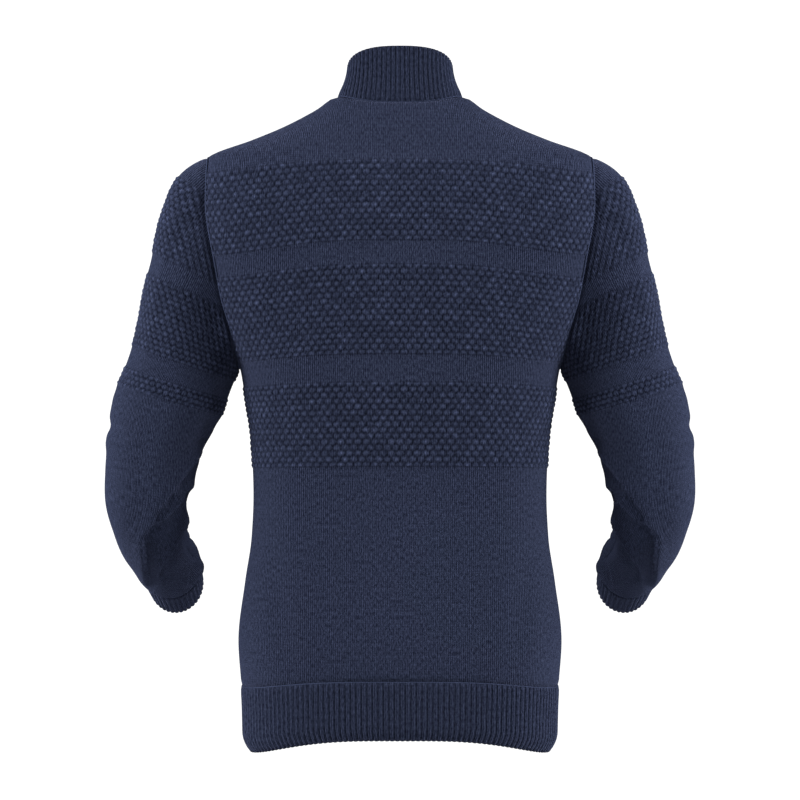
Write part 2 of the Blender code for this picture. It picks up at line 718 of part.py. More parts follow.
def block(name, low, high, frame, bevel):
    """A box from its low and high corners in the frame of the zip."""
    bpy.ops.mesh.primitive_cube_add(size=1)
    made = bpy.context.active_object
    made.name = name
    made.data.name = name
    size = Vector(high) - Vector(low)
    shape = Matrix.Translation((Vector(high) + Vector(low)) / 2) @ Matrix.Diagonal(size.to_4d())
    made.data.transform(shape)
    made.matrix_world = frame
    if bevel:
        rounding = made.modifiers.new("rounding", "BEVEL")
        rounding.width = bevel
        rounding.segments = 2
    return made


def adopt(made, finish):
    for old in list(made.users_collection):
        old.objects.unlink(made)
    COLLECTION.objects.link(made)
    made.data.materials.append(finish)


def zip_box(metal):
    frame = zip_frame((BOX_START + BOX_END) / 2)
    half = (BOX_END - BOX_START) / 2
    box = block("zip_box", (-0.0040, -0.0004, -half), (0.0040, 0.0034, half), frame, 0.0006)
    adopt(box, metal)


def zip_slider(metal):
    """The slider: two plates joined by a post, with a bail on its face."""
    frame = zip_frame(zip_path()[2][-1] - SLIDER_BELOW_RIM)
    half = SLIDER_HALF_LENGTH
    wide = SLIDER_HALF_WIDTH
    body = block("zip_slider", (-wide, -0.0010, -half), (wide, 0.0004, half), frame, 0.0004)
    adopt(body, metal)
    added = (
        ("post", (-0.0007, 0.0000, -0.0030), (0.0007, 0.0044, 0.0030)),
        ("back_plate", (-wide, 0.0039, -half), (wide, 0.0050, half)),
        ("bail_low", (-0.0006, -0.0040, -0.0012), (0.0006, -0.0005, -0.0001)),
        ("bail_high", (-0.0006, -0.0040, 0.0030), (0.0006, -0.0005, 0.0042)),
        ("bail_top", (-0.0006, -0.0043, -0.0012), (0.0006, -0.0033, 0.0042)),
    )
    for name, low, high in added:
        piece = block(name, low, high, frame, 0)
        for old in list(piece.users_collection):
            old.objects.unlink(piece)
        CUTTERS.objects.link(piece)
        piece.hide_render = True
        piece.display_type = "WIRE"
        union = body.modifiers.new(name, "BOOLEAN")
        union.operation = "UNION"
        union.object = piece


def pull_outline():
    """The pull tab's outline and holes, hinge at the origin, tip downwards."""
    wide = PULL_HALF_WIDTH
    turn = np.linspace(0, -math.pi, 9)
    tip = [(wide * math.cos(a), wide - PULL_LENGTH + wide * math.sin(a)) for a in turn]
    outer = [(-wide, PULL_BAR), (wide, PULL_BAR)] + tip
    arm = PULL_ARM_INSIDE
    window = [(-arm, -PULL_BAR), (-arm, -PULL_WINDOW_END), (arm, -PULL_WINDOW_END), (arm, -PULL_BAR)]
    slot = [(0.0010 * math.cos(a), -0.0215 + 0.0022 * math.sin(a)) for a in np.linspace(0, 5.5, 8)]
    return outer, window, slot


def zip_pull(metal):
    """The pull tab, hanging from the bail on its own hinge."""
    frame = zip_frame(zip_path()[2][-1] - SLIDER_BELOW_RIM)
    outline = bpy.data.curves.new("zip_pull", "CURVE")
    outline.dimensions = "2D"
    outline.fill_mode = "BOTH"
    outline.extrude = PULL_THICKNESS / 2
    for points in pull_outline():
        spline = outline.splines.new("POLY")
        spline.points.add(len(points) - 1)
        for point, (x, up) in zip(spline.points, points):
            point.co = (x, up, 0, 1)
        spline.use_cyclic_u = True
    hinge = bpy.data.objects.new("pull_hinge", None)
    COLLECTION.objects.link(hinge)
    hinge.matrix_world = frame @ Matrix.Translation((0, -HINGE_OUT, HINGE_UP))
    pull = add_object("zip_pull", outline, metal)
    pull.parent = hinge
    pull.rotation_euler = (math.pi / 2, 0, 0)


def main():
    clear_scene()
    knit = material("knit", KNIT_NAVY, 0.9, 0.0)
    rib = material("rib", RIB_NAVY, 0.9, 0.0)
    tape = material("tape", TAPE_NAVY, 0.8, 0.0)
    metal = material("metal", METAL_DARK, 0.35, 1.0)
    panels(knit)
    hems(rib)
    collar(rib)
    sleeves(knit, rib)
    zip_tapes(tape)
    zip_chain(metal)
    zip_box(metal)
    zip_slider(metal)
    zip_pull(metal)


main()
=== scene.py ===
"""Looks of the knitted zip cardigan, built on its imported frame.

Metres, +Z up, the fronts face -Y and +X is the wearer's left. Every cloth piece
is a closed shell on the form of its solid: a fine knitted face over a plain
inside. The bubble stitch, the ribs and the zip's teeth are real relief.
"""
import math
from collections import namedtuple

import bpy
import numpy as np
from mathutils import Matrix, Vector


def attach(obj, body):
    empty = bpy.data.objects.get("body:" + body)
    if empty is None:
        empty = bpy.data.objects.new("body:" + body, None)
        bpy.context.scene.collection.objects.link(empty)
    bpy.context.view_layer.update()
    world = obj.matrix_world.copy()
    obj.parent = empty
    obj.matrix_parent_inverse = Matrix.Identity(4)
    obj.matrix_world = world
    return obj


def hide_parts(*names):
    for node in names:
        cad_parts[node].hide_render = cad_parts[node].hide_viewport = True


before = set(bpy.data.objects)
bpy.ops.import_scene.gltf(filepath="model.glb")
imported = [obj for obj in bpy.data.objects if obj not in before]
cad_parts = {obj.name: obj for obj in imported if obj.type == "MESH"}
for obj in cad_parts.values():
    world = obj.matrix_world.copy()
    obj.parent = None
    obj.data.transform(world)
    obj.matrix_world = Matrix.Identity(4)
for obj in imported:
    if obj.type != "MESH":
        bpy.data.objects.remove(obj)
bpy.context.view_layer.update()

# ------------ driving sizes
WALL = 0.0022
SEAM_GAP = 0.0007
FORM_POWER = 2.3           # squareness of the body's sections
ARMPIT_HEIGHT = -0.296
SHOULDER_TIP_HEIGHT = -0.0635
ROWS_BELOW_TIP = (0.0016, 0.0008, 0.0003, 0.0001, 0)
SIDE_NECK_HEIGHT = 0.003
ZIP_HALF_OPENING = 0.0052
AXIS_DROP = 0.05
HEM_ROLL = 0.008           # how far the hem rib curls in at its edge
HEM_ROLL_REACH = 0.020

BUBBLE_PITCH = 0.0090      # bubble to bubble along a row
BUBBLE_RAISE = 0.0026
BUBBLE_SINK = 0.0012       # how far a band's ground lies below the plain knit
BUBBLE_UNEVEN = 0.10       # how much bubbles differ in height
BUBBLE_SEAM_FADE = 0.004   # how near the armhole's seam they are lower
GROOVE_SHADE = 1.22        # painted shade and light: how far the colour goes from the darkest furrow to the brightest bubble
GROOVE_LEVEL = 0.68        # relief, squared, of cloth as bright as the plain knit
DARKEST_SHADE = 0.08
GLINT = 0.7                # painted glint: how much brighter the tops of the highest bubbles are painted
# the painted glint starts at this relief and is full this much higher
GLINT_HEIGHT = 1.05
GLINT_RISE = 0.04
BUBBLE_FILL = (0.57, 0.65)  # half axes of a bubble, in pitches and in rows
STEPS_PER_BUBBLE_ROW = 4
BAND_EDGE_RISE = 2.2       # how fast a band's relief starts, per row
PLAIN_STEP = 0.0060        # row spacing of the plain knit
YOKE_STEP = 0.0025         # the same above the bands
ROW_CLEARANCE = 0.0004     # a fine row this near to a fixed one is left out
COLUMN_STEP = 0.0014
RIB_PITCH = 0.0058
RIB_DEPTH = 0.0013
RIB_LEVEL = 0.35           # height on a rib that lies in the solid's face
RIB_ROUNDNESS = 0.8
RIB_COLUMNS = 8
RIB_SHADE = 0.36           # painted shade: how much darker a furrow between ribs is painted
RIB_SHADE_FALL = 1.3
SEAM_DIP = 0.0011          # how far the cloth sinks towards a seam
SEAM_REACH = 0.0032
SEAM_THREAD = 0.0011       # half the thickness of the linking inside a seam
SEAM_SINK = 0.0020         # how deep the threads lie under the seam's line
ARMHOLE_SINK = 0.0005      # the armhole's seam shows as a fine ridge
ARMHOLE_CENTRE = (0.19, 0.0, -0.18)
UNDER_COLLAR = (0.97, 0.97, 1.0)  # where the shoulder's seam ends, beside the neck's
INSIDE_EVERY = 6           # one inside point for so many outside ones
RIB_INSIDE_EVERY = 4

SLEEVE_COLUMNS = 216
CAP_RINGS = 164
ARM_RINGS = 121
CUFF_RINGS = 15
HEM_ROWS = 16
COLLAR_ROWS = 16
STAND_COLUMNS = 40         # of the collar's quarter that the zip follows
CUFF_RADIUS = 0.034

# ------------ tables
def table(columns, *rows):
    kind = namedtuple("Row", columns)
    return [kind(*row) for row in rows]


BODY = table(
    "height half_width behind ahead",
    (-0.720, 0.1720, 0.110, 0.114),
    (-0.670, 0.1730, 0.111, 0.116),
    (-0.640, 0.1745, 0.112, 0.118),
    (-0.594, 0.1775, 0.114, 0.120),
    (-0.528, 0.1700, 0.110, 0.117),
    (-0.480, 0.1630, 0.106, 0.114),
    (-0.435, 0.1610, 0.103, 0.113),
    (-0.374, 0.1635, 0.106, 0.118),
    (-0.330, 0.1700, 0.111, 0.124),
    (-0.296, 0.1755, 0.115, 0.127),
    (-0.259, 0.1920, 0.118, 0.129),
    (-0.221, 0.2080, 0.120, 0.129),
    (-0.178, 0.2220, 0.121, 0.126),
    (-0.150, 0.2280, 0.120, 0.120),
    (-0.113, 0.2290, 0.114, 0.104),
    (-0.095, 0.2260, 0.109, 0.094),
    (-0.075, 0.2190, 0.100, 0.080),
    (-0.0635, 0.2100, 0.091, 0.071),
    (-0.0455, 0.1634, 0.079, 0.060),
    (-0.0318, 0.1304, 0.069, 0.049),
    (-0.0184, 0.1040, 0.059, 0.039),
    (-0.0100, 0.0897, 0.052, 0.032),
    (-0.0005, 0.0770, 0.046, 0.028),
    (0.0030, 0.0690, 0.043, 0.026))

ARMHOLE = table(
    "height side",
    (-0.2960, 0.1755),
    (-0.2850, 0.1770),
    (-0.2595, 0.1817),
    (-0.2215, 0.1926),
    (-0.1780, 0.2005),
    (-0.1130, 0.2100),
    (-0.0635, 0.2100))

# how far a knitted row has risen or sunk at the middle of each panel
COURSES = table(
    "at_edge back_middle front_middle",
    (-0.714, -0.692, -0.706),
    (-0.643, -0.629, -0.641),
    (-0.550, -0.543, -0.549),
    (-0.410, -0.407, -0.410),
    (-0.350, -0.346, -0.350),
    (-0.296, -0.289, -0.298),
    (-0.227, -0.217, -0.233),
    (-0.178, -0.165, -0.189),
    (-0.129, -0.117, -0.150),
    (-0.079, -0.0705, -0.115),
    (-0.0635, -0.0635, -0.106),
    (-0.0455, -0.0480, -0.099),
    (-0.0318, -0.0355, -0.0925),
    (-0.0184, -0.0240, -0.0860),
    (-0.0100, -0.0165, -0.0805),
    (0.0030, -0.0070, -0.0750))
FRONT_LIFT_POWER = 2.6
YOKE_HEIGHT = -0.150
YOKE_TURN = 0.30

# bands of bubble stitch: heights at the back's middle, and rows of bubbles
BODY_BANDS = table(
    "top bottom rows",
    (-0.0725, -0.1620, 15),
    (-0.1845, -0.2825, 16),
    (-0.3090, -0.4020, 15))
# on a sleeve the heights are those of its rows at the middle of the back view
SLEEVE_BANDS = table(
    "top bottom rows",
    (-0.0800, -0.1810, 16),
    (-0.2025, -0.2870, 14),
    (-0.3085, -0.3320, 4))
SLEEVE_ROW_SLOPE = 0.7007
SLEEVE_ROW_SLOPE_GAIN = 1.226
SLEEVE_MIDDLE = 0.250
SLEEVE_AXIS_LEAN = -0.37
SLEEVE_RADIUS = 0.076

ARM = table(
    "x y z half_width half_depth",
    (0.2530, 0.002, -0.3300, 0.0600, 0.0600),
    (0.2680, 0.002, -0.3780, 0.0530, 0.0570),
    (0.2745, 0.001, -0.4120, 0.0500, 0.0550),
    (0.2790, -0.006, -0.4400, 0.0455, 0.0530),
    (0.2770, -0.021, -0.4620, 0.0420, 0.0510),
    (0.2750, -0.042, -0.4775, 0.0405, 0.0485),
    (0.2720, -0.075, -0.4920, 0.0390, 0.0450),
    (0.2680, -0.110, -0.5065, 0.0380, 0.0425),
    (0.2650, -0.140, -0.5185, 0.0375, 0.0410),
    (0.2645, -0.152, -0.5235, 0.0345, 0.0380))
CUFF = ARM[-1:] + table(
    "x y z half_width half_depth",
    (0.2640, -0.165, -0.5290, 0.0335, 0.0370),
    (0.2625, -0.207, -0.5465, 0.0310, 0.0350))
CAP_TOP_DIRECTION = (0.95, 0.0, -0.30)
CAP_UNDERARM_DIRECTION = (0.50, 0.0, -0.87)
CAP_START_PULL = 1.10
CAP_END_PULL = 0.95
CAP_HOLLOW = 0.0105

# each fold runs from one point of the left sleeve to another: the distance
# below the upper arm ring and the angle round the arm
# (0 outer, 90 back, 180 inner, 270 crook); a height below zero is a trough
SLEEVE_FOLDS = table(
    "start start_angle end end_angle half_width height",
    (0.085, 262, 0.110, 225, 0.0090, -0.0060),
    (0.125, 268, 0.140, 330, 0.0090, -0.0060))

# Places on the left sleeve as a viewer VIEW_DISTANCE behind the middle of the
# garment sees them, in metres at the origin's distance.
VIEW_DISTANCE = 3.0
VIEW_HEIGHT = -0.330

# Folds of cloth lying over the cloth beside them. The lit side is on the right
# of somebody walking down the line, and the cloth drops away on the other.
SLEEVE_OVERLAPS = table(
    "ridge drop lit_width dark_width line",
    (0.0030, 0.0080, 0.0120, 0.0120,
     [(0.195, -0.352), (0.2154, -0.3809), (0.2417, -0.4180), (0.2663, -0.4505),
      (0.2757, -0.4689), (0.2830, -0.4790)]),
    (0.0025, 0.0085, 0.0075, 0.0200,
     [(0.2180, -0.4160), (0.2363, -0.4365), (0.2478, -0.4505), (0.2602, -0.4643),
      (0.2757, -0.4720), (0.2830, -0.4800), (0.2849, -0.4921), (0.2826, -0.5075),
      (0.2810, -0.5229), (0.2787, -0.5400)]),
    (0.0028, 0.0050, 0.0060, 0.0110,
     [(0.2300, -0.4600), (0.2417, -0.4844), (0.2540, -0.5014), (0.2632, -0.5183),
      (0.2663, -0.5330)]),
    (0.0012, 0.0030, 0.0040, 0.0050,
     [(0.2400, -0.4430), (0.2378, -0.4612), (0.2330, -0.4770)]),
    (0.0022, 0.0035, 0.0050, 0.0060,
     [(0.2230, -0.4980), (0.2324, -0.5152), (0.2355, -0.5370)]))
OVERLAP_STEP = 0.0024      # how wide the drop beside a fold is
OVERLAP_FADE = 0.12        # the share of a fold's length in which it rises or dies

# soft dents, and swellings where the height is above zero; they die out
# where the cloth turns away from the back
CREASE_LEVEL = 0.8
CREASE_TURN = 2.0
SLEEVE_CREASES = table(
    "x z to_x to_z half_width height",
    (0.206, -0.362, 0.215, -0.378, 0.0110, -0.0060),
    (0.216, -0.390, 0.219, -0.398, 0.0090, 0.0030),
    (0.234, -0.431, 0.237, -0.433, 0.0060, -0.0045),
    (0.231, -0.445, 0.231, -0.458, 0.0080, 0.0080),
    (0.226, -0.484, 0.224, -0.498, 0.0090, -0.0085),
    (0.214, -0.513, 0.214, -0.518, 0.0090, 0.0040),
    (0.269, -0.115, 0.278, -0.168, 0.0280, -0.0050),
    (0.316, -0.330, 0.317, -0.345, 0.0120, 0.0025),
    (0.318, -0.358, 0.318, -0.360, 0.0060, -0.0015),
    (0.322, -0.371, 0.322, -0.376, 0.0090, 0.0022),
    (0.286, -0.398, 0.300, -0.402, 0.0140, -0.0012))

BODY_FOLDS = table(
    "low low_side high high_side half_width height",
    (-0.620, 0.120, -0.470, 0.142, 0.016, -0.0025),
    (-0.600, 0.070, -0.480, 0.060, 0.020, -0.0018))
FOLD_OVERRUN = 0.4         # shares of a body fold's height
FOLD_FADE = 0.45

RIM_HALF_WIDTH = 0.0575
RIM_BEHIND = 0.0465
RIM_AHEAD = 0.0720
RIM_SIDE_HEIGHT = 0.0315
RIM_TILT = 0.48
RIM_POWER = 2.6
COLLAR_WAIST = 0.0022

TAPE_INNER_EDGE = 0.0011
TAPE_REACH = 0.0090
TAPE_THICKNESS = 0.0008
TAPE_CLEARANCE = 0.0004
TAPE_ENDS_SHORT = (0.001, 0.002)  # at the hem and at the rim
BOX_END = 0.0142
BOX_HALF_WIDTH = 0.0040
PIECE_GAP = 0.0003
SLIDER_BELOW_RIM = 0.014
SLIDER_HALF_LENGTH = 0.0052
TOOTH_PITCH = 0.0021
TOOTH_SIZE = (0.0032, 0.0018, 0.0013)  # across, deep, along
TOOTH_OUT = 0.0014         # a tooth's middle from the zip's middle line
TEETH_ENDS_SHORT = (0.001, 0.0012)  # above the box and below the slider
TEETH_LOOK_AHEAD = 0.001
CHAIN_RECESS = 0.0013

# yarn colours, and the pitch and the depth of the fine stitches
Yarn = namedtuple("Yarn", "name dark light wale course depth")
KNIT_YARN = Yarn("knit navy", (0.0095, 0.0120, 0.0242, 1), (0.0258, 0.0322, 0.0601, 1),
                 0.0023, 0.0017, 0.0003)
RIB_YARN = Yarn("rib navy", (0.0092, 0.0116, 0.0234, 1), (0.0248, 0.0310, 0.0574, 1),
                RIB_PITCH / 3, 0.0017, 0.0002)
TAPE_YARN = Yarn("tape navy", (0.010, 0.013, 0.024, 1), (0.016, 0.020, 0.036, 1),
                 0.0009, 0.0009, 0.0001)
SEAM_COLOUR = (0.026, 0.033, 0.062, 1)
METAL_COLOUR = (0.22, 0.22, 0.24, 1)
METAL_ROUGHNESS = 0.32
STREAK_SCALE = (640, 240, 1)
COURSE_SHARE = 0.4         # how strong the courses are beside the wales
COVERED_STITCHES = -0.60   # how much fainter the fine stitches are in a band
# how much lighter and darker the fine stitches are painted into the colour, as painted shade
STITCH_SHADE = 0.16
FUZZ_SHARE = 1.6

FLOOR_HEIGHT = -2.0
FLOOR_REACH = 8.0
FLOOR_COLOUR = (0.46, 0.46, 0.46, 1)
BACKDROP_PLACE = -8.1      # far behind, so that it shades none of the other views
BACKDROP_HALF = 1.8
BACKDROP_GLOW = 1.1
WORLD_GLOW = 0.46
VIEW_HALF = 0.44           # half the picture's width at the origin's distance
LIGHT_TARGET = (0, 0, -0.35)
LAMPS = table(
    "name place energy size",
    ("fill", (-0.8, 2.9, 0.5), 9, 1.4),
    ("side left", (2.4, 1.0, 0.42), 128, 1.2),
    ("side right", (-2.4, 1.0, 0.42), 128, 1.2),
    ("rim left", (2.3, -1.2, 0.9), 60, 1.2),
    ("rim right", (-2.3, -1.2, 0.9), 60, 1.2),
    ("front", (0.3, -3.2, 1.4), 60, 1.8))


# ------------ curves
class Track:
    """A smooth curve through keyed values that never overshoots them."""

    def __init__(self, keys, values):
        order = np.argsort(keys)
        self.keys = np.asarray(keys, float)[order]
        self.values = np.asarray(values, float)[order]
        self.steps = np.diff(self.keys)
        rises = np.diff(self.values) / self.steps
        slopes = np.empty(len(self.keys))
        slopes[0] = rises[0]
        slopes[-1] = rises[-1]
        same_way = rises[:-1] * rises[1:] > 0
        total = np.where(same_way, rises[:-1] + rises[1:], 1.0)
        slopes[1:-1] = np.where(same_way, 2 * rises[:-1] * rises[1:] / total, 0.0)
        self.slopes = slopes

    def __call__(self, key):
        key = np.clip(key, self.keys[0], self.keys[-1])
        cell = np.clip(np.searchsorted(self.keys, key, side="right") - 1, 0, len(self.steps) - 1)
        step = self.steps[cell]
        t = (key - self.keys[cell]) / step
        start = (1 + 2 * t) * (1 - t) ** 2 * self.values[cell]
        leave = t * (1 - t) ** 2 * step * self.slopes[cell]
        end = t * t * (3 - 2 * t) * self.values[cell + 1]
        arrive = t * t * (t - 1) * step * self.slopes[cell + 1]
        return start + leave + end + arrive


def track(table, key, column):
    return Track([getattr(row, key) for row in table], [getattr(row, column) for row in table])


HALF_WIDTH = track(BODY, "height", "half_width")
BEHIND = track(BODY, "height", "behind")
AHEAD = track(BODY, "height", "ahead")
ARMHOLE_SIDE = track(ARMHOLE, "height", "side")
BACK_MIDDLE = track(COURSES, "at_edge", "back_middle")
FRONT_MIDDLE = track(COURSES, "at_edge", "front_middle")
EDGE_TABLE = np.linspace(COURSES[0].at_edge, SIDE_NECK_HEIGHT, 4000)
MIDDLE_TABLE = BACK_MIDDLE(EDGE_TABLE)


def joined(*coordinates):
    return np.stack(coordinates, axis=-1)


def unit(vectors):
    return vectors / np.linalg.norm(vectors, axis=-1, keepdims=True)


def running_length(points):
    """Length along each row of a grid of points, starting at zero."""
    steps = np.linalg.norm(np.diff(points, axis=-2), axis=-1)
    zero = np.zeros(steps.shape[:-1] + (1,))
    return np.concatenate([zero, np.cumsum(steps, axis=-1)], axis=-1)


def along(points, shares):
    """Points at given shares of a polyline's length."""
    lengths = running_length(points)
    places = np.asarray(shares) * lengths[-1]
    return joined(*(np.interp(places, lengths, column) for column in points.T))


def outward_normals(grid, inside, closed):
    """Normals of a grid of points, facing away from the points inside it."""
    down = np.gradient(grid, axis=0)
    if closed:
        across = np.roll(grid, -1, axis=1) - np.roll(grid, 1, axis=1)
    else:
        across = np.gradient(grid, axis=1)
    normals = unit(np.cross(down, across) + 1e-15)
    if np.sum(normals * (grid - inside)) < 0:
        normals = -normals
    return normals


def hill(distance, reach):
    return np.exp(-(distance / reach) ** 2)


# ------------ body form
def edge_at(middle):
    """Height at the panel's edge of the row that is so high at the back's middle."""
    return np.interp(middle, MIDDLE_TABLE, EDGE_TABLE)


def panel_rows():
    """Edge heights of the fine rows, close together in the bubble bands."""
    low = COURSES[1].back_middle
    high = float(BACK_MIDDLE(SIDE_NECK_HEIGHT))
    stops = [low]
    for band in reversed(BODY_BANDS):
        gap = band.bottom - stops[-1]
        stops.extend(np.linspace(stops[-1], band.bottom, max(2, round(gap / PLAIN_STEP)) + 1)[1:])
        stops.extend(np.linspace(band.bottom, band.top, band.rows * STEPS_PER_BUBBLE_ROW + 1)[1:])
    stops.extend(np.linspace(stops[-1], high, round((high - stops[-1]) / YOKE_STEP) + 1)[1:])
    edges = edge_at(np.array(stops))
    edges[0] = COURSES[1].at_edge
    edges[-1] = SIDE_NECK_HEIGHT
    fixed = np.array([ARMPIT_HEIGHT] + [SHOULDER_TIP_HEIGHT - below for below in ROWS_BELOW_TIP])
    edges = edges[np.min(np.abs(edges[:, None] - fixed), axis=1) > ROW_CLEARANCE]
    return np.unique(np.concatenate([edges, fixed]))


def row_lift(share, front):
    if front:
        return np.sin(math.pi / 2 * share) ** FRONT_LIFT_POWER
    return share ** 3 * (share * (6 * share - 15) + 10)


def body_fold_depth(side, height):
    push = np.zeros_like(side)
    for fold in BODY_FOLDS:
        share = np.clip((height - fold.low) / (fold.high - fold.low), -FOLD_OVERRUN, 1 + FOLD_OVERRUN)
        centre = fold.low_side + (fold.high_side - fold.low_side) * share
        fade = np.exp(-((share - 0.5) / FOLD_FADE) ** 4)
        push += fold.height * fade * hill(side - centre, fold.half_width)
    return push


def body_points(edges, front, shares):
    """Grid of points from the middle line to the edge of one half panel."""
    edges = np.asarray(edges, float)
    first = ZIP_HALF_OPENING if front else 0.0
    middle_of = FRONT_MIDDLE if front else BACK_MIDDLE
    depth_of = AHEAD if front else BEHIND
    half = HALF_WIDTH(edges)
    beside_arm = (edges > ARMPIT_HEIGHT) & (edges < SHOULDER_TIP_HEIGHT)
    side = np.where(beside_arm, np.minimum(half, ARMHOLE_SIDE(edges)), half)
    last_turn = np.arccos(np.minimum(1.0, (side / half) ** (FORM_POWER / 2)))
    if front:
        last_turn = np.where(edges > YOKE_HEIGHT, np.maximum(last_turn, YOKE_TURN), last_turn)
    turn = math.pi / 2 - shares[None] * (math.pi / 2 - last_turn[:, None])
    spread = (np.maximum(0.0, np.cos(turn)) / np.cos(last_turn)[:, None]) ** (2 / FORM_POWER)
    x = first + (side[:, None] - first) * spread
    middle = middle_of(edges)[:, None]
    z = middle + (edges[:, None] - middle) * row_lift(shares, front)[None]
    rest = np.maximum(0.0, 1 - (x / HALF_WIDTH(z)) ** FORM_POWER)
    y = depth_of(z) * rest ** (1 / FORM_POWER)
    y += body_fold_depth(x, z) * np.minimum(1.0, 4 * (1 - shares))[None]
    return joined(x, -y if front else y, z)


def even_columns(grid, count):
    """The same rows of points, spaced evenly along each row."""
    shares = np.linspace(0, 1, count + 1)
    return np.array([along(row, shares) for row in grid])


def panel_grid(front):
    edges = panel_rows()
    rough = body_points(edges, front, np.linspace(0, 1, 220))
    widest = running_length(rough)[:, -1].max()
    return even_columns(rough, int(widest / COLUMN_STEP)), edges


def pull_in(grid, top=True, bottom=True, start=True, end=True):
    """Draw the chosen edges of a grid back by half a seam's clearance."""
    grid = grid.copy()
    half = SEAM_GAP / 2
    if bottom:
        grid[0] += unit(grid[1] - grid[0]) * half
    if top:
        grid[-1] += unit(grid[-2] - grid[-1]) * half
    if start:
        grid[:, 0] += unit(grid[:, 1] - grid[:, 0]) * half
    if end:
        grid[:, -1] += unit(grid[:, -2] - grid[:, -1]) * half
    return grid


def as_is(grid):
    return grid


def mirror_x(grid):
    return grid * np.array([-1.0, 1.0, 1.0])


BOTH_SIDES = (("left", as_is), ("right", mirror_x))


def body_axis(grid):
    """Points inside the body, a little below each point, that its face turns from."""
    axis = np.zeros_like(grid)
    axis[..., 2] = grid[..., 2] - AXIS_DROP
    return axis


# ------------ sleeve form
def armhole_ring(angles):
    """The armhole seam, down the back for the first half turn and up the front."""
    middle = (ARMPIT_HEIGHT + SHOULDER_TIP_HEIGHT) / 2
    reach = (SHOULDER_TIP_HEIGHT - ARMPIT_HEIGHT) / 2
    height = middle + reach * np.cos(angles)
    half = HALF_WIDTH(height)
    side = np.minimum(half, ARMHOLE_SIDE(height))
    rest = np.maximum(0.0, 1 - (side / half) ** FORM_POWER) ** (1 / FORM_POWER)
    behind = angles <= math.pi
    y = np.where(behind, BEHIND(height), -AHEAD(height)) * rest
    return joined(side, y, height)


ArmFrames = namedtuple("ArmFrames", "centre direction outward backward length")


def arm_frames(rings, places):
    """Centres, directions and half axes of the arm at shares of its length."""
    centres = np.array([(ring.x, ring.y, ring.z) for ring in rings])
    lengths = running_length(centres)
    keys = lengths / lengths[-1]

    def centre_at(shares):
        return joined(*(Track(keys, column)(shares) for column in centres.T))

    width = Track(keys, [ring.half_width for ring in rings])(places)[:, None]
    depth = Track(keys, [ring.half_depth for ring in rings])(places)[:, None]
    direction = unit(centre_at(np.minimum(1.0, places + 0.01)) - centre_at(np.maximum(0.0, places - 0.01)))
    outward = unit(np.array([1.0, 0, 0]) - direction[:, :1] * direction)
    backward = np.cross(outward, direction)
    return ArmFrames(centre_at(places), direction, outward * width, backward * depth, lengths[-1])


def ring_points(frames, angles):
    return (frames.centre[:, None] + np.cos(angles)[None, :, None] * frames.outward[:, None]
            + np.sin(angles)[None, :, None] * frames.backward[:, None])


def sleeve_fold_push(distance, angles, radius):
    """How far the folds push each point of the sleeve out of the arm."""
    push = np.zeros((len(distance), len(angles)))
    for fold in SLEEVE_FOLDS:
        run = fold.end - fold.start
        sweep = math.radians(fold.end_angle - fold.start_angle) * radius[:, None]
        middle_angle = math.radians((fold.end_angle + fold.start_angle) / 2)
        turn = (angles[None] - middle_angle + math.pi) % (2 * math.pi) - math.pi
        across = turn * radius[:, None] + sweep / 2
        down = (distance - fold.start)[:, None]
        share = np.clip((down * run + across * sweep) / (run * run + sweep * sweep), 0, 1)
        apart = np.hypot(down - share * run, across - share * sweep)
        push += fold.height * hill(apart, fold.half_width)
    return push


def seen_from_behind(points):
    nearness = VIEW_DISTANCE / (VIEW_DISTANCE - points[..., 1])
    return joined(points[..., 0] * nearness, (points[..., 2] - VIEW_HEIGHT) * nearness + VIEW_HEIGHT)


def beside_line(seen, line):
    """Distance from a line of points, on which side, and the share of its length."""
    line = np.array(line)
    runs = np.diff(line, axis=0)
    lengths = np.linalg.norm(runs, axis=1)
    nearest = np.full(seen.shape[:-1], np.inf)
    lit = np.zeros(nearest.shape, dtype=bool)
    share = np.zeros_like(nearest)
    done = 0.0
    for start, run, length in zip(line, runs, lengths):
        apart = seen - start
        part = np.clip(apart @ run / length ** 2, 0, 1)
        distance = np.linalg.norm(apart - part[..., None] * run, axis=-1)
        nearer = distance < nearest
        nearest = np.where(nearer, distance, nearest)
        lit = np.where(nearer, run[0] * apart[..., 1] - run[1] * apart[..., 0] > 0, lit)
        share = np.where(nearer, (done + part * length) / lengths.sum(), share)
        done += length
    return nearest, lit, share


def sleeve_creases(points, normals):
    """How far the creases seen from behind push the left sleeve's cloth out."""
    seen = seen_from_behind(points)
    push = np.zeros(points.shape[:-1])
    for crease in SLEEVE_CREASES:
        line = [(crease.x, crease.z), (crease.to_x, crease.to_z)]
        push += crease.height * hill(beside_line(seen, line)[0], crease.half_width)
    for fold in SLEEVE_OVERLAPS:
        distance, lit, share = beside_line(seen, fold.line)
        edge = hill(distance, OVERLAP_STEP)
        dark_side = (fold.ridge * edge - fold.drop * (1 - edge)) * hill(distance, fold.dark_width)
        lit_side = fold.ridge * hill(distance, fold.lit_width)
        fade = np.clip(np.minimum(share, 1 - share) / OVERLAP_FADE, 0, 1)
        push += np.where(lit, lit_side, dark_side) * fade * fade * (3 - 2 * fade)
    return push * np.clip(CREASE_LEVEL + CREASE_TURN * normals[..., 1], 0, 1)


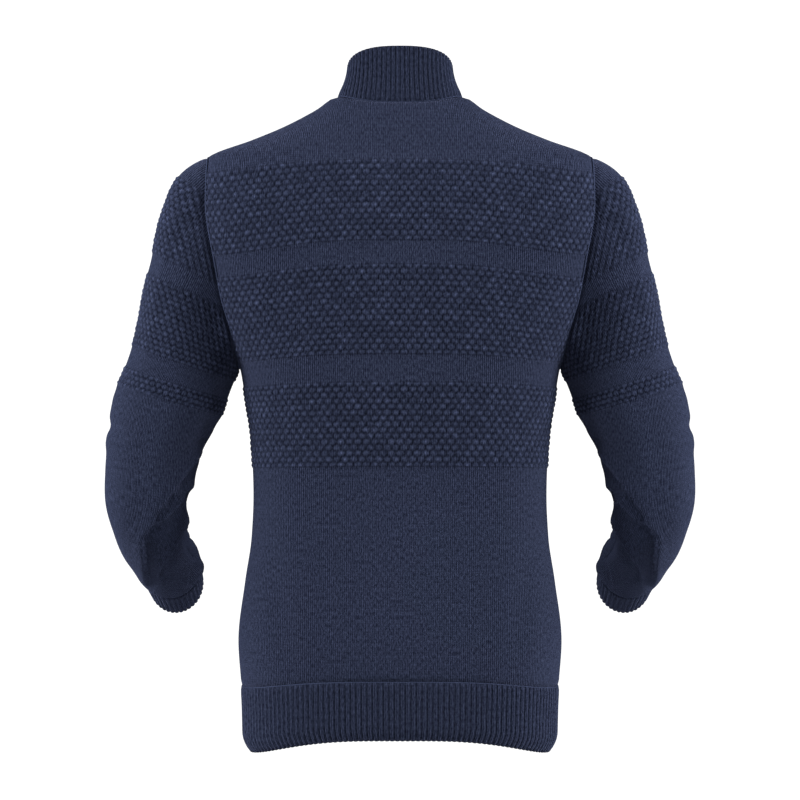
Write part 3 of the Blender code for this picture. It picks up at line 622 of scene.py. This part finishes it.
def sleeve_surface(angles, cap_places, arm_places):
    """The left sleeve from the armhole to the cuff seam, ring by ring."""
    armhole = armhole_ring(angles)
    frames = arm_frames(ARM, arm_places)
    arm = ring_points(frames, angles)
    start = arm_frames(ARM, np.zeros(1))
    upper = ring_points(start, angles)[0]
    chord = np.linalg.norm(upper - armhole, axis=1, keepdims=True)
    blend = ((1 - np.cos(angles)) / 2)[:, None]
    leave = unit(np.array(CAP_TOP_DIRECTION) * (1 - blend) + np.array(CAP_UNDERARM_DIRECTION) * blend)
    t = cap_places[:, None, None]
    cap = (1 + 2 * t) * (1 - t) ** 2 * armhole
    cap += t * (1 - t) ** 2 * chord * CAP_START_PULL * leave
    cap += t * t * (3 - 2 * t) * upper
    cap += t * t * (t - 1) * chord * CAP_END_PULL * start.direction[0]
    hollow = CAP_HOLLOW * np.sin(math.pi * cap_places ** 1.5)[:, None]
    cap[..., 0] -= hollow * np.maximum(0, np.cos(angles))[None]
    radius = (np.linalg.norm(frames.outward, axis=1) + np.linalg.norm(frames.backward, axis=1)) / 2
    push = sleeve_fold_push(arm_places * frames.length, angles, radius)
    push *= np.minimum(1.0, 6 * (1 - arm_places))[:, None]
    arm_inside = frames.centre[:, None]
    arm = arm + unit(arm - arm_inside) * push[..., None]
    middle = armhole.mean(axis=0)
    cap_inside = middle * (1 - t) + start.centre[0] * t
    inside = np.concatenate([np.broadcast_to(cap_inside, cap.shape),
                             np.broadcast_to(arm_inside, arm.shape)])
    return np.concatenate([cap, arm]), inside


# ------------ knitted relief, and its painted shade and light
def bubble_relief(across, row):
    """Height from 0 to 1 of the bubble stitch; across in pitches, row in rows."""
    reach_across, reach_row = BUBBLE_FILL
    best = np.zeros_like(across)
    level = np.floor(row)
    for step in (-1, 0, 1):
        line = level + step
        shift = 0.5 * np.mod(line, 2)
        stitch = np.round(across - shift)
        apart = across - shift - stitch
        above = row - line - 0.5
        dome = 1 - (apart / reach_across) ** 2 - (above / reach_row) ** 2
        uneven = 2 * np.mod(np.abs(np.sin(stitch * 12.99 + line * 78.23)) * 437.5, 1) - 1
        best = np.maximum(best, np.sqrt(np.maximum(0.0, dome)) * (1 + BUBBLE_UNEVEN * uneven))
    return best


def band_relief(bands, across, height):
    """The bubble bands' relief at distances across and at row heights."""
    relief = np.zeros_like(across)
    cover = np.zeros_like(across)
    for band in bands:
        row = (band.top - height) / (band.top - band.bottom) * band.rows
        inside = (row > 0) & (row < band.rows)
        fade = np.clip(np.minimum(row, band.rows - row) * BAND_EDGE_RISE, 0, 1)
        relief += np.where(inside, fade * bubble_relief(across / BUBBLE_PITCH, row), 0.0)
        cover += np.where(inside, fade, 0.0)
    return relief, cover


def painted_shade_and_glint(relief, cover):
    """Painted shade and light for the yarn's colour: the furrows between raised stitches are painted
    darker, as if in shadow, and the bubbles' tops lighter.
    """
    shade = 1 + GROOVE_SHADE * cover * (relief ** 2 - GROOVE_LEVEL)
    # painted glint: the tops of the highest bubbles are painted brighter
    glint = np.clip((relief - GLINT_HEIGHT) / GLINT_RISE, 0, 1)
    return np.maximum(DARKEST_SHADE, shade + GLINT * glint)


def rib_profile(place):
    """Height from 0 to 1 of a rib; place counts ribs."""
    return np.abs(np.sin(math.pi * place)) ** RIB_ROUNDNESS


# ------------ meshes
def new_object(name, data):
    made = bpy.data.objects.new(name, data)
    bpy.context.scene.collection.objects.link(made)
    return made


def new_piece(name, points, faces, finish):
    mesh = bpy.data.meshes.new(name)
    mesh.from_pydata(points, [], faces)
    mesh.materials.append(finish)
    return new_object(name, mesh)


def strip_faces(first, first_places, second, second_places):
    """Triangles between two rows of points that run side by side."""
    faces = []
    i = 0
    j = 0
    while i < len(first) - 1 or j < len(second) - 1:
        at_end = i == len(first) - 1
        if not at_end and (j == len(second) - 1 or first_places[i + 1] <= second_places[j + 1]):
            faces.append((first[i], first[i + 1], second[j]))
            i += 1
        else:
            faces.append((first[i], second[j + 1], second[j]))
            j += 1
    return faces


def grid_faces(index):
    corners = [index[:-1, :-1], index[:-1, 1:], index[1:, 1:], index[1:, :-1]]
    return np.stack(corners, axis=-1).reshape(-1, 4)


def thinned(count, every):
    """Every so many places of a row, both of its ends among them."""
    return np.unique(np.append(np.arange(0, count, every), count - 1))


def shell(name, outer, base, normals, closed, thickness, flat, finish, shade=None, cover=None,
          every=INSIDE_EVERY):
    """A closed shell: the fine outer grid over a plain, coarser inside.

    At each outer point, shade is the painted shade and light that the yarn's colour
    is multiplied by, and cover is 1 in a band of bubble stitch, where the plain stitches don't show.
    """
    rows, columns = outer.shape[:2]
    row_picks = thinned(rows, every)
    column_picks = thinned(columns, every)
    if closed:
        column_picks = column_picks[:-1]
    inner = (base - normals * thickness)[np.ix_(row_picks, column_picks)]
    outer_index = np.arange(rows * columns).reshape(rows, columns)
    inner_index = rows * columns + np.arange(inner.shape[0] * inner.shape[1]).reshape(inner.shape[:2])
    around = np.arange(columns)
    around_inner = column_picks
    if closed:
        outer_index = np.concatenate([outer_index, outer_index[:, :1]], axis=1)
        inner_index = np.concatenate([inner_index, inner_index[:, :1]], axis=1)
        around = np.arange(columns + 1)
        around_inner = np.append(column_picks, columns)
    faces = grid_faces(outer_index).tolist() + grid_faces(inner_index)[:, ::-1].tolist()
    down = np.arange(rows)
    borders = [(outer_index[0], around, inner_index[0], around_inner, True),
               (outer_index[-1], around, inner_index[-1], around_inner, False)]
    if not closed:
        borders += [(outer_index[:, 0], down, inner_index[:, 0], row_picks, False),
                    (outer_index[:, -1], down, inner_index[:, -1], row_picks, True)]
    for outer_line, outer_places, inner_line, inner_places, flipped in borders:
        strip = strip_faces(outer_line, outer_places, inner_line, inner_places)
        faces += [face[::-1] for face in strip] if flipped else strip
    first_turn = np.cross(outer[1, 0] - outer[0, 0], outer[0, 1] - outer[0, 0])
    if np.sum(first_turn * normals[0, 0]) > 0:
        faces = [face[::-1] for face in faces]
    points = np.concatenate([outer.reshape(-1, 3), inner.reshape(-1, 3)])
    places = np.concatenate([flat.reshape(-1, 2), flat[np.ix_(row_picks, column_picks)].reshape(-1, 2)])
    made = new_piece(name, points.tolist(), [[int(k) for k in face] for face in faces], finish)
    mesh = made.data
    layer = mesh.uv_layers.new(name="flat")
    corner = np.empty(len(mesh.loops), dtype=np.int32)
    mesh.loops.foreach_get("vertex_index", corner)
    layer.data.foreach_set("uv", places[corner].reshape(-1).astype(np.float32))
    for label, values, rest in (("shade", shade, 1.0), ("cover", cover, 0.0)):
        whole = np.full(len(points), rest, dtype=np.float32)
        if values is not None:
            whole[:rows * columns] = values.reshape(-1)
        mesh.attributes.new(label, "FLOAT", "POINT").data.foreach_set("value", whole)
    mesh.shade_smooth()
    return made


def seam_dip(distances):
    return -SEAM_DIP * sum(hill(distance, SEAM_REACH) for distance in distances)


def wear(piece, node):
    """Puts a piece on the garment's body in its node's place, and hides the node's solid."""
    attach(piece, "garment")
    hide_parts(node)


# ------------ body pieces
def panel_piece(name, front, mirrored, finish):
    half, edges = panel_grid(front)
    across = running_length(half)
    height = np.broadcast_to(BACK_MIDDLE(edges)[:, None], across.shape)
    if not front:
        half = np.concatenate([mirror_x(half)[:, :0:-1], half], axis=1)
        across = np.concatenate([-across[:, :0:-1], across], axis=1)
        height = np.broadcast_to(height[:, :1], across.shape)
    base = pull_in(half, start=not front)
    normals = outward_normals(base, body_axis(base), False)
    bumps, cover = band_relief(BODY_BANDS, across, height)
    to_side = [across[:, -1:] - across] + ([] if front else [across - across[:, :1]])
    length = running_length(base.transpose(1, 0, 2)).T
    dips = seam_dip(to_side + [length, length[-1:] - length])
    outer = base + normals * (BUBBLE_RAISE * bumps - BUBBLE_SINK * cover + dips)[..., None]
    flat_places = joined(across, height)
    # painted shade and light of the bubble stitch, multiplied into the yarn's colour
    shade = painted_shade_and_glint(bumps, cover)
    if mirrored:
        outer, base, normals = mirror_x(outer), mirror_x(base), mirror_x(normals)
    piece = shell(name, outer, base, normals, False, WALL, flat_places, finish, shade, cover)
    wear(piece, name.replace("knit_", ""))


def hem_surface(front, rows, columns):
    heights = np.linspace(COURSES[1].at_edge, COURSES[0].at_edge, rows + 1)
    grid = body_points(heights, front, np.linspace(0, 1, 120))
    above_edge = heights - COURSES[0].at_edge
    curl = HEM_ROLL * np.maximum(0.0, 1 - above_edge / HEM_ROLL_REACH) ** 2
    shrink = 1 - curl / HALF_WIDTH(heights)
    grid[..., :2] *= shrink[:, None, None]
    if front:
        grid[:, 0, 0] = ZIP_HALF_OPENING
    return even_columns(grid, columns)


def ribbed_shell(name, base, closed, inside, ribs, finish):
    """A shell with so many ribs along its rows, the first of them at a seam."""
    normals = outward_normals(base, inside, closed)
    columns = base.shape[1]
    share = np.arange(columns) / (columns if closed else columns - 1)
    profile = rib_profile(share * ribs)
    relief = RIB_DEPTH * (profile - RIB_LEVEL)[None]
    length = running_length(base.transpose(1, 0, 2)).T
    outer = base + normals * (relief + seam_dip([length]))[..., None]
    places = joined(np.broadcast_to(share[None] * ribs * RIB_PITCH, length.shape), length)
    # painted shade: the furrows between the ribs are darkened in the colour
    shade = np.broadcast_to(1 - RIB_SHADE * (1 - profile)[None] ** RIB_SHADE_FALL, length.shape)
    return shell(name, outer, base, normals, closed, WALL, places, finish, shade,
                 every=RIB_INSIDE_EVERY)


def hem_pieces(finish):
    arc = running_length(hem_surface(False, 2, 80))[0, -1]
    ribs = round(arc / RIB_PITCH)
    half = hem_surface(False, HEM_ROWS, ribs * RIB_COLUMNS)
    back = pull_in(np.concatenate([mirror_x(half)[:, :0:-1], half], axis=1), top=False)
    piece = ribbed_shell("rib_hem_back", back, False, body_axis(back), 2 * ribs, finish)
    wear(piece, "hem_back")
    front = pull_in(hem_surface(True, HEM_ROWS, ribs * RIB_COLUMNS), top=False, start=False)
    for side, place in BOTH_SIDES:
        grid = place(front)
        piece = ribbed_shell("rib_hem_" + side, grid, False, body_axis(grid), ribs, finish)
        wear(piece, "hem_" + side)


def rim_line(first_turn, last_turn, count):
    turn = np.linspace(first_turn, last_turn, count)
    across, deep = (np.sign(wave) * np.abs(wave) ** (2 / RIM_POWER)
                    for wave in (np.sin(turn), np.cos(turn)))
    y = deep * np.where(deep > 0, RIM_BEHIND, RIM_AHEAD)
    return joined(RIM_HALF_WIDTH * across, y, RIM_SIDE_HEIGHT + RIM_TILT * y)


def all_round(front, back):
    """The left quarters, front edge and back middle first, and their mirror images."""
    half = np.concatenate([front, back[-2::-1]])
    return np.concatenate([half, mirror_x(half)[-2::-1]])


def collar_surface(rows, columns):
    """The collar from the left front edge round the back to the right."""
    count = columns // 4
    shares = np.linspace(0, 1, 160)
    even = np.linspace(0, 1, count + 1)
    front = along(body_points([SIDE_NECK_HEIGHT], True, shares)[0], even)
    back = along(body_points([SIDE_NECK_HEIGHT], False, shares)[0], even)
    front_rim = along(rim_line(math.pi, math.pi / 2, 181), even)
    front_rim[:, 0] = np.maximum(front_rim[:, 0], ZIP_HALF_OPENING)
    back_rim = along(rim_line(0, math.pi / 2, 181), even)
    base = all_round(front, back)
    rim = all_round(front_rim, back_rim)
    share = np.linspace(0, 1, rows + 1)[:, None, None]
    grid = base * (1 - share) + rim * share
    outward = unit(grid * np.array([1.0, 1.0, 0.0]))
    drawn = grid - outward * COLLAR_WAIST * 4 * share * (1 - share)
    drawn[:, [0, -1], 0] = grid[:, [0, -1], 0]
    return drawn


def collar_piece(finish):
    rough = collar_surface(8, 160)
    girth = running_length(rough)[4, -1]
    ribs = 4 * round(girth / RIB_PITCH / 4)
    grid = collar_surface(COLLAR_ROWS, ribs * RIB_COLUMNS)
    grid = pull_in(grid, top=False, start=False, end=False)
    piece = ribbed_shell("rib_collar", grid, False, body_axis(grid), ribs, finish)
    wear(piece, "collar")


# ------------ sleeves
def sleeve_coordinates(points):
    """Distance round the sleeve and the height of the row at each point."""
    beside = points[..., 0] - SLEEVE_MIDDLE
    height = (points[..., 2] - SLEEVE_ROW_SLOPE * beside) / (1 + SLEEVE_ROW_SLOPE_GAIN * beside)
    slope = SLEEVE_ROW_SLOPE + SLEEVE_ROW_SLOPE_GAIN * height
    axis = ARM[0].x + (height - ARM[0].z) * SLEEVE_AXIS_LEAN
    out = (points[..., 0] - axis) * np.sqrt(1 + slope ** 2)
    return SLEEVE_RADIUS * np.arctan2(points[..., 1] - ARM[0].y, out), height


def sleeve_cloth():
    """The left sleeve's outside, base, normals, flat places, painted shade and light, and cover."""
    angles = np.linspace(0, 2 * math.pi, SLEEVE_COLUMNS, endpoint=False)
    cap_places = np.linspace(0, 1, CAP_RINGS, endpoint=False)
    arm_places = np.linspace(0, 1, ARM_RINGS)
    grid, inside = sleeve_surface(angles, cap_places, arm_places)
    base = pull_in(grid, start=False, end=False)
    normals = outward_normals(base, inside, True)
    across, height = sleeve_coordinates(base)
    length = running_length(base.transpose(1, 0, 2)).T
    bumps, cover = band_relief(SLEEVE_BANDS, across, height)
    for values in (bumps, cover):
        values[CAP_RINGS:] = 0.0
        values *= 1 - hill(length, BUBBLE_SEAM_FADE)
    dips = seam_dip([length, length[-1:] - length])
    creases = sleeve_creases(base, normals)
    outer = base + normals * (BUBBLE_RAISE * bumps - BUBBLE_SINK * cover + dips + creases)[..., None]
    base = base + normals * creases[..., None]
    arm = arm_frames(ARM, arm_places)
    girth = np.linalg.norm(arm.outward, axis=1) / ARM[0].half_width * SLEEVE_RADIUS
    turn = (angles + math.pi) % (2 * math.pi) - math.pi
    across[CAP_RINGS:] = turn[None] * girth[:, None]
    height[CAP_RINGS:] = height[CAP_RINGS].mean() - arm_places[:, None] * arm.length
    flat = joined(across, height)
    # the bubble stitch's painted shade and light go back with the sleeve's cloth
    return outer, base, normals, flat, painted_shade_and_glint(bumps, cover), cover


def sleeve_pieces(knit, rib):
    outer, base, normals, flat, shade, cover = sleeve_cloth()
    ribs = round(2 * math.pi * CUFF_RADIUS / RIB_PITCH)
    angles = np.linspace(0, 2 * math.pi, ribs * RIB_COLUMNS, endpoint=False)
    frames = arm_frames(CUFF, np.linspace(0, 1, CUFF_RINGS))
    cuff = pull_in(ring_points(frames, angles), top=False, start=False, end=False)
    inside = np.broadcast_to(frames.centre[:, None], cuff.shape)
    for side, place in BOTH_SIDES:
        piece = shell("knit_sleeve_" + side, place(outer), place(base), place(normals), True, WALL,
                      flat, knit, shade, cover)
        wear(piece, "sleeve_" + side)
        piece = ribbed_shell("rib_cuff_" + side, place(cuff), True, place(inside), ribs, rib)
        wear(piece, "cuff_" + side)


# ------------ seams
def tube(points, radius, sides=6):
    """Points and faces of a closed tube round a line of points."""
    points = np.asarray(points)
    heading = unit(np.gradient(points, axis=0))
    first = np.empty_like(heading)
    anything_else = np.roll(heading[0], 1) + np.array([0.1, 0.2, 0.3])
    before = np.cross(heading[0], anything_else)
    for place, ahead in enumerate(heading):
        before = unit(before - (before @ ahead) * ahead)
        first[place] = before
    second = np.cross(heading, first)
    turn = np.linspace(0, 2 * math.pi, sides, endpoint=False)
    ring = (points[:, None] + radius * (np.cos(turn)[None, :, None] * first[:, None]
                                        + np.sin(turn)[None, :, None] * second[:, None]))
    index = np.arange(len(points) * sides).reshape(len(points), sides)
    index = np.concatenate([index, index[:, :1]], axis=1)
    faces = grid_faces(index).tolist()
    faces.append(index[0, :sides].tolist())
    faces.append(index[-1, :sides][::-1].tolist())
    return ring.reshape(-1, 3), faces


def sunk(points, inside, depth=SEAM_SINK):
    """Points moved towards the inside, under the face of the cloth."""
    return points + unit(inside - points) * depth


def seam_lines():
    """The linked seams of the left half, and the collar's seam all round."""
    edges = panel_rows()
    side = body_points(edges[edges <= ARMPIT_HEIGHT + 1e-6], False, np.ones(1))[:, 0]
    shoulder = body_points(edges[edges >= SHOULDER_TIP_HEIGHT - 1e-6], False, np.ones(1))[:, 0]
    shoulder = np.concatenate([shoulder, shoulder[-1:] * np.array(UNDER_COLLAR)])
    armhole = armhole_ring(np.linspace(0, 2 * math.pi, 201))
    neck = collar_surface(2, 240)[0]
    hem_side = hem_surface(False, 14, 40)[:, -1]
    back_hem = hem_surface(False, 2, 120)[0]
    front_hem = hem_surface(True, 2, 120)[0]
    arm = arm_frames(ARM, np.ones(1))
    wrist = ring_points(arm, np.linspace(0, 2 * math.pi, 61))[0]
    below = np.array([0.0, 0.0, -0.2])
    level = np.array([0.0, 0.0, 1.0])
    lines = [sunk(shoulder, shoulder + below)]
    for line in (side, hem_side, back_hem, front_hem):
        lines.append(sunk(line, line * level))
    lines.append(sunk(armhole, np.array(ARMHOLE_CENTRE), ARMHOLE_SINK))
    lines.append(sunk(wrist, arm.centre))
    both = lines + [mirror_x(line) for line in lines]
    both.append(sunk(neck, neck * level))
    return both


def seam_threads(finish):
    verts = []
    faces = []
    for line in seam_lines():
        places, sides = tube(line, SEAM_THREAD)
        faces += [[index + len(verts) for index in face] for face in sides]
        verts += places.tolist()
    made = new_piece("seam_threads", verts, faces, finish)
    made.data.shade_smooth()
    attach(made, "garment")


# ------------ zip
def zip_edge():
    """Two columns of points along the left front's edge, hem to rim."""
    hem = hem_surface(True, 12, 60)[::-1]
    front = body_points(panel_rows(), True, np.linspace(0, 1, 60))[1:]
    stand = collar_surface(10, 4 * STAND_COLUMNS)[1:, :STAND_COLUMNS + 1]
    rows = []
    for row in (*hem, *front, *stand):
        girth = running_length(row)[-1]
        rows.append([row[0], along(row, [TAPE_REACH / girth])[0]])
    return np.array(rows)


ZipPath = namedtuple("ZipPath", "points normals lengths")


def zip_path(edge):
    """The zip's middle line, hem to rim."""
    normals = outward_normals(edge, body_axis(edge), False)[:, 0]
    normals[:, 0] = 0
    points = edge[:, 0] * np.array([0.0, 1.0, 1.0])
    return ZipPath(points, unit(normals), running_length(points))


def read_path(path, places):
    points, normals = (joined(*(np.interp(places, path.lengths, column) for column in values.T))
                       for values in (path.points, path.normals))
    return points, unit(normals)


def zip_tapes(edge, path, finish):
    """The two woven tapes behind the fronts' edges."""
    lengths = path.lengths
    normals = outward_normals(edge, body_axis(edge), False)
    behind = edge - normals * (WALL + TAPE_CLEARANCE)
    inner = behind[:, :1] * np.array([0.0, 1.0, 1.0])
    beside_box = lengths < BOX_END + PIECE_GAP
    inner[:, 0, 0] = np.where(beside_box, BOX_HALF_WIDTH + PIECE_GAP, TAPE_INNER_EDGE)
    strip = np.concatenate([inner, behind], axis=1)
    keep = (lengths > TAPE_ENDS_SHORT[0]) & (lengths < lengths[-1] - TAPE_ENDS_SHORT[1])
    strip = strip[keep]
    facing = np.repeat(normals[keep][:, :1], 3, axis=1)
    flat = joined(running_length(strip), np.repeat(lengths[keep][:, None], 3, axis=1))
    for side, place in BOTH_SIDES:
        piece = shell("tape_" + side, place(strip), place(strip), place(facing), False,
                      TAPE_THICKNESS, flat, finish, every=1)
        wear(piece, "zip_tape_" + side)


def zip_teeth(path, finish):
    """The closed teeth, left and right in turn, as one joined mesh."""
    length = path.lengths[-1]
    start = BOX_END + PIECE_GAP + TEETH_ENDS_SHORT[0]
    end = length - SLIDER_BELOW_RIM - SLIDER_HALF_LENGTH - TEETH_ENDS_SHORT[1]
    count = int((end - start) / (TOOTH_PITCH / 2))
    places = start + np.arange(count) * TOOTH_PITCH / 2
    points, normals = read_path(path, places)
    ahead, _ = read_path(path, places + TEETH_LOOK_AHEAD)
    up = unit(ahead - points)
    wide, deep, tall = TOOTH_SIZE
    halves = (-0.5, 0.5)
    corners = np.array([(x, y, z) for x in halves for y in halves for z in halves])
    box = np.array([(0, 1, 3, 2), (4, 6, 7, 5), (0, 4, 5, 1), (2, 3, 7, 6), (0, 2, 6, 4), (1, 5, 7, 3)])
    side = np.where(np.arange(count) % 2 == 0, 1.0, -1.0)
    across = np.array([1.0, 0, 0])
    centre = points - normals * CHAIN_RECESS + across * (side * TOOTH_OUT)[:, None]
    verts = (centre[:, None] + corners[None, :, :1] * wide * across
             + corners[None, :, 1:2] * deep * normals[:, None]
             + corners[None, :, 2:] * tall * up[:, None])
    faces = (box[None] + 8 * np.arange(count)[:, None, None]).reshape(-1, 4)
    made = new_piece("zip_teeth", verts.reshape(-1, 3).tolist(), faces.tolist(), finish)
    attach(made, "garment")
    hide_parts("zip_chain")


# ------------ materials
class Shading:
    """A material and the nodes that feed its shader."""

    def __init__(self, name):
        self.material = bpy.data.materials.new(name)
        self.material.use_nodes = True
        self.nodes = self.material.node_tree.nodes
        self.shader = self.nodes["Principled BSDF"]

    def feed(self, node, inputs):
        """Set inputs to plain values, or join them to other nodes' outputs."""
        for name, value in inputs.items():
            if isinstance(value, bpy.types.NodeSocket):
                self.material.node_tree.links.new(value, node.inputs[name])
            else:
                node.inputs[name].default_value = value

    def node(self, kind, inputs, **properties):
        """The outputs of a new node."""
        made = self.nodes.new("ShaderNode" + kind)
        for name, value in properties.items():
            setattr(made, name, value)
        self.feed(made, inputs)
        return made.outputs

    def sum(self, operation, *inputs):
        return self.node("Math", dict(enumerate(inputs)), operation=operation)[0]

    def dimmed(self, colour, share):
        return self.node("VectorMath", {0: colour, "Scale": share}, operation="SCALE")["Vector"]

    def ramp(self, share, *stops):
        """A colour between two, each given with the share at which it is reached."""
        made = self.nodes.new("ShaderNodeValToRGB")
        for element, (place, colour) in zip(made.color_ramp.elements, stops):
            element.position = place
            element.color = colour
        self.feed(made, {"Fac": share})
        return made.outputs["Color"]


def fibre_material(yarn):
    """Knitted or woven wool: mottled yarn with fine stitches in relief, whose painted shade is multiplied
    into the colour along with the painted shade and light of each point.
    """
    made = Shading(yarn.name)
    places = made.node("UVMap", {}, uv_map="flat")["UV"]
    # painted shade and light of the raised stitches and ribs, per point
    shade = made.node("Attribute", {}, attribute_name="shade")["Fac"]
    cover = made.node("Attribute", {}, attribute_name="cover")["Fac"]
    split = made.node("SeparateXYZ", {0: places})

    wales = made.sum("SINE", made.sum("MULTIPLY", split["X"], 2 * math.pi / yarn.wale))
    courses = made.sum("SINE", made.sum("MULTIPLY", split["Y"], 2 * math.pi / yarn.course))
    both = made.sum("ADD", wales, made.sum("MULTIPLY", courses, COURSE_SHARE))
    plain = made.sum("MULTIPLY_ADD", cover, COVERED_STITCHES, 1.0)
    stitches = made.sum("MULTIPLY", both, plain)
    # painted shade of the fine stitches: the colour is lighter on their tops and darker between them
    painted_stitch_shade = made.sum("MULTIPLY_ADD", stitches, STITCH_SHADE, 0.9)

    stretched = made.node("Mapping", {"Vector": places, "Scale": STREAK_SCALE})["Vector"]
    streaks = made.node("TexNoise", {"Vector": stretched, "Scale": 1.0, "Detail": 3.0})["Fac"]
    mottled = made.ramp(streaks, (0.36, yarn.dark), (0.64, yarn.light))
    fuzz = made.node("TexNoise", {"Vector": places, "Scale": 1400.0, "Detail": 2.0})["Fac"]
    relief = made.sum("MULTIPLY_ADD", fuzz, FUZZ_SHARE, stitches)
    bump = made.node("Bump", {"Strength": 1.0, "Distance": yarn.depth, "Height": relief})
    made.feed(made.shader, {
        # the mottled yarn's colour with the painted shade and light multiplied in
        "Base Color": made.dimmed(made.dimmed(mottled, shade), painted_stitch_shade),
        "Normal": bump["Normal"],
        "Roughness": 0.88,
        "Specular IOR Level": 0.0,
        "Sheen Weight": 0.11,
        "Sheen Roughness": 0.40,
        "Sheen Tint": (0.48, 0.55, 0.95, 1),
    })
    return made.material


def metal_material(name, colour, roughness):
    made = Shading(name)
    places = made.node("TexCoord", {})["Object"]
    blotches = made.node("TexNoise", {"Vector": places, "Scale": 260.0})["Fac"]
    worn = tuple(0.75 * part for part in colour[:3]) + (1,)
    finish = made.ramp(blotches, (0.0, worn), (1.0, colour))
    made.feed(made.shader, {"Base Color": finish, "Metallic": 1.0, "Roughness": roughness})
    return made.material


def plain_material(name, colour):
    made = Shading(name)
    made.feed(made.shader, {"Base Color": colour, "Roughness": 0.9, "Specular IOR Level": 0.0})
    return made.material


def glowing_material(name, strength):
    made = Shading(name)
    made.feed(made.shader, {"Base Color": (0, 0, 0, 1), "Emission Color": (1, 1, 1, 1),
                            "Emission Strength": strength})
    return made.material


# ------------ stage
def stage():
    """A pale floor, soft light and the camera at the photo's angle."""
    square = ((-1, -1), (1, -1), (1, 1), (-1, 1))
    floor = [(x * FLOOR_REACH, y * FLOOR_REACH, FLOOR_HEIGHT) for x, y in square]
    paper = [(x * BACKDROP_HALF, BACKDROP_PLACE, FLOOR_HEIGHT + (z + 1) * BACKDROP_HALF) for x, z in square]
    new_piece("floor", floor, [(0, 1, 2, 3)], plain_material("floor", FLOOR_COLOUR))
    new_piece("backdrop", paper, [(0, 1, 2, 3)], glowing_material("backdrop", BACKDROP_GLOW))

    scene = bpy.context.scene
    world = bpy.data.worlds.new("studio")
    world.use_nodes = True
    glow = world.node_tree.nodes["Background"].inputs
    glow["Color"].default_value = (1, 1, 1, 1)
    glow["Strength"].default_value = WORLD_GLOW
    scene.world = world

    for lamp in LAMPS:
        light = bpy.data.lights.new(lamp.name, "AREA")
        light.energy = lamp.energy
        light.size = lamp.size
        held = new_object(lamp.name, light)
        held.location = lamp.place
        aim = Vector(LIGHT_TARGET) - Vector(lamp.place)
        held.rotation_euler = aim.to_track_quat("-Z", "Y").to_euler()

    camera = bpy.data.cameras.new("camera")
    camera.angle = 2 * math.atan(VIEW_HALF / VIEW_DISTANCE)
    eye = new_object("camera", camera)
    eye.location = (0, VIEW_DISTANCE, VIEW_HEIGHT)
    eye.rotation_euler = (math.pi / 2, 0, math.pi)
    scene.camera = eye
    scene.view_settings.view_transform = "Standard"


def dress():
    """Put every piece of the garment on its solid."""
    knit = fibre_material(KNIT_YARN)
    rib = fibre_material(RIB_YARN)
    tape = fibre_material(TAPE_YARN)
    metal = metal_material("zip metal", METAL_COLOUR, METAL_ROUGHNESS)
    panel_piece("knit_back", False, False, knit)
    panel_piece("knit_front_left", True, False, knit)
    panel_piece("knit_front_right", True, True, knit)
    hem_pieces(rib)
    collar_piece(rib)
    sleeve_pieces(knit, rib)
    edge = zip_edge()
    path = zip_path(edge)
    zip_tapes(edge, path, tape)
    zip_teeth(path, metal)
    seam_threads(plain_material("seam navy", SEAM_COLOUR))
    for name in ("zip_box", "zip_slider", "zip_pull"):
        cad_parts[name].data.materials.clear()
        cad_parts[name].data.materials.append(metal)


dress()
stage()
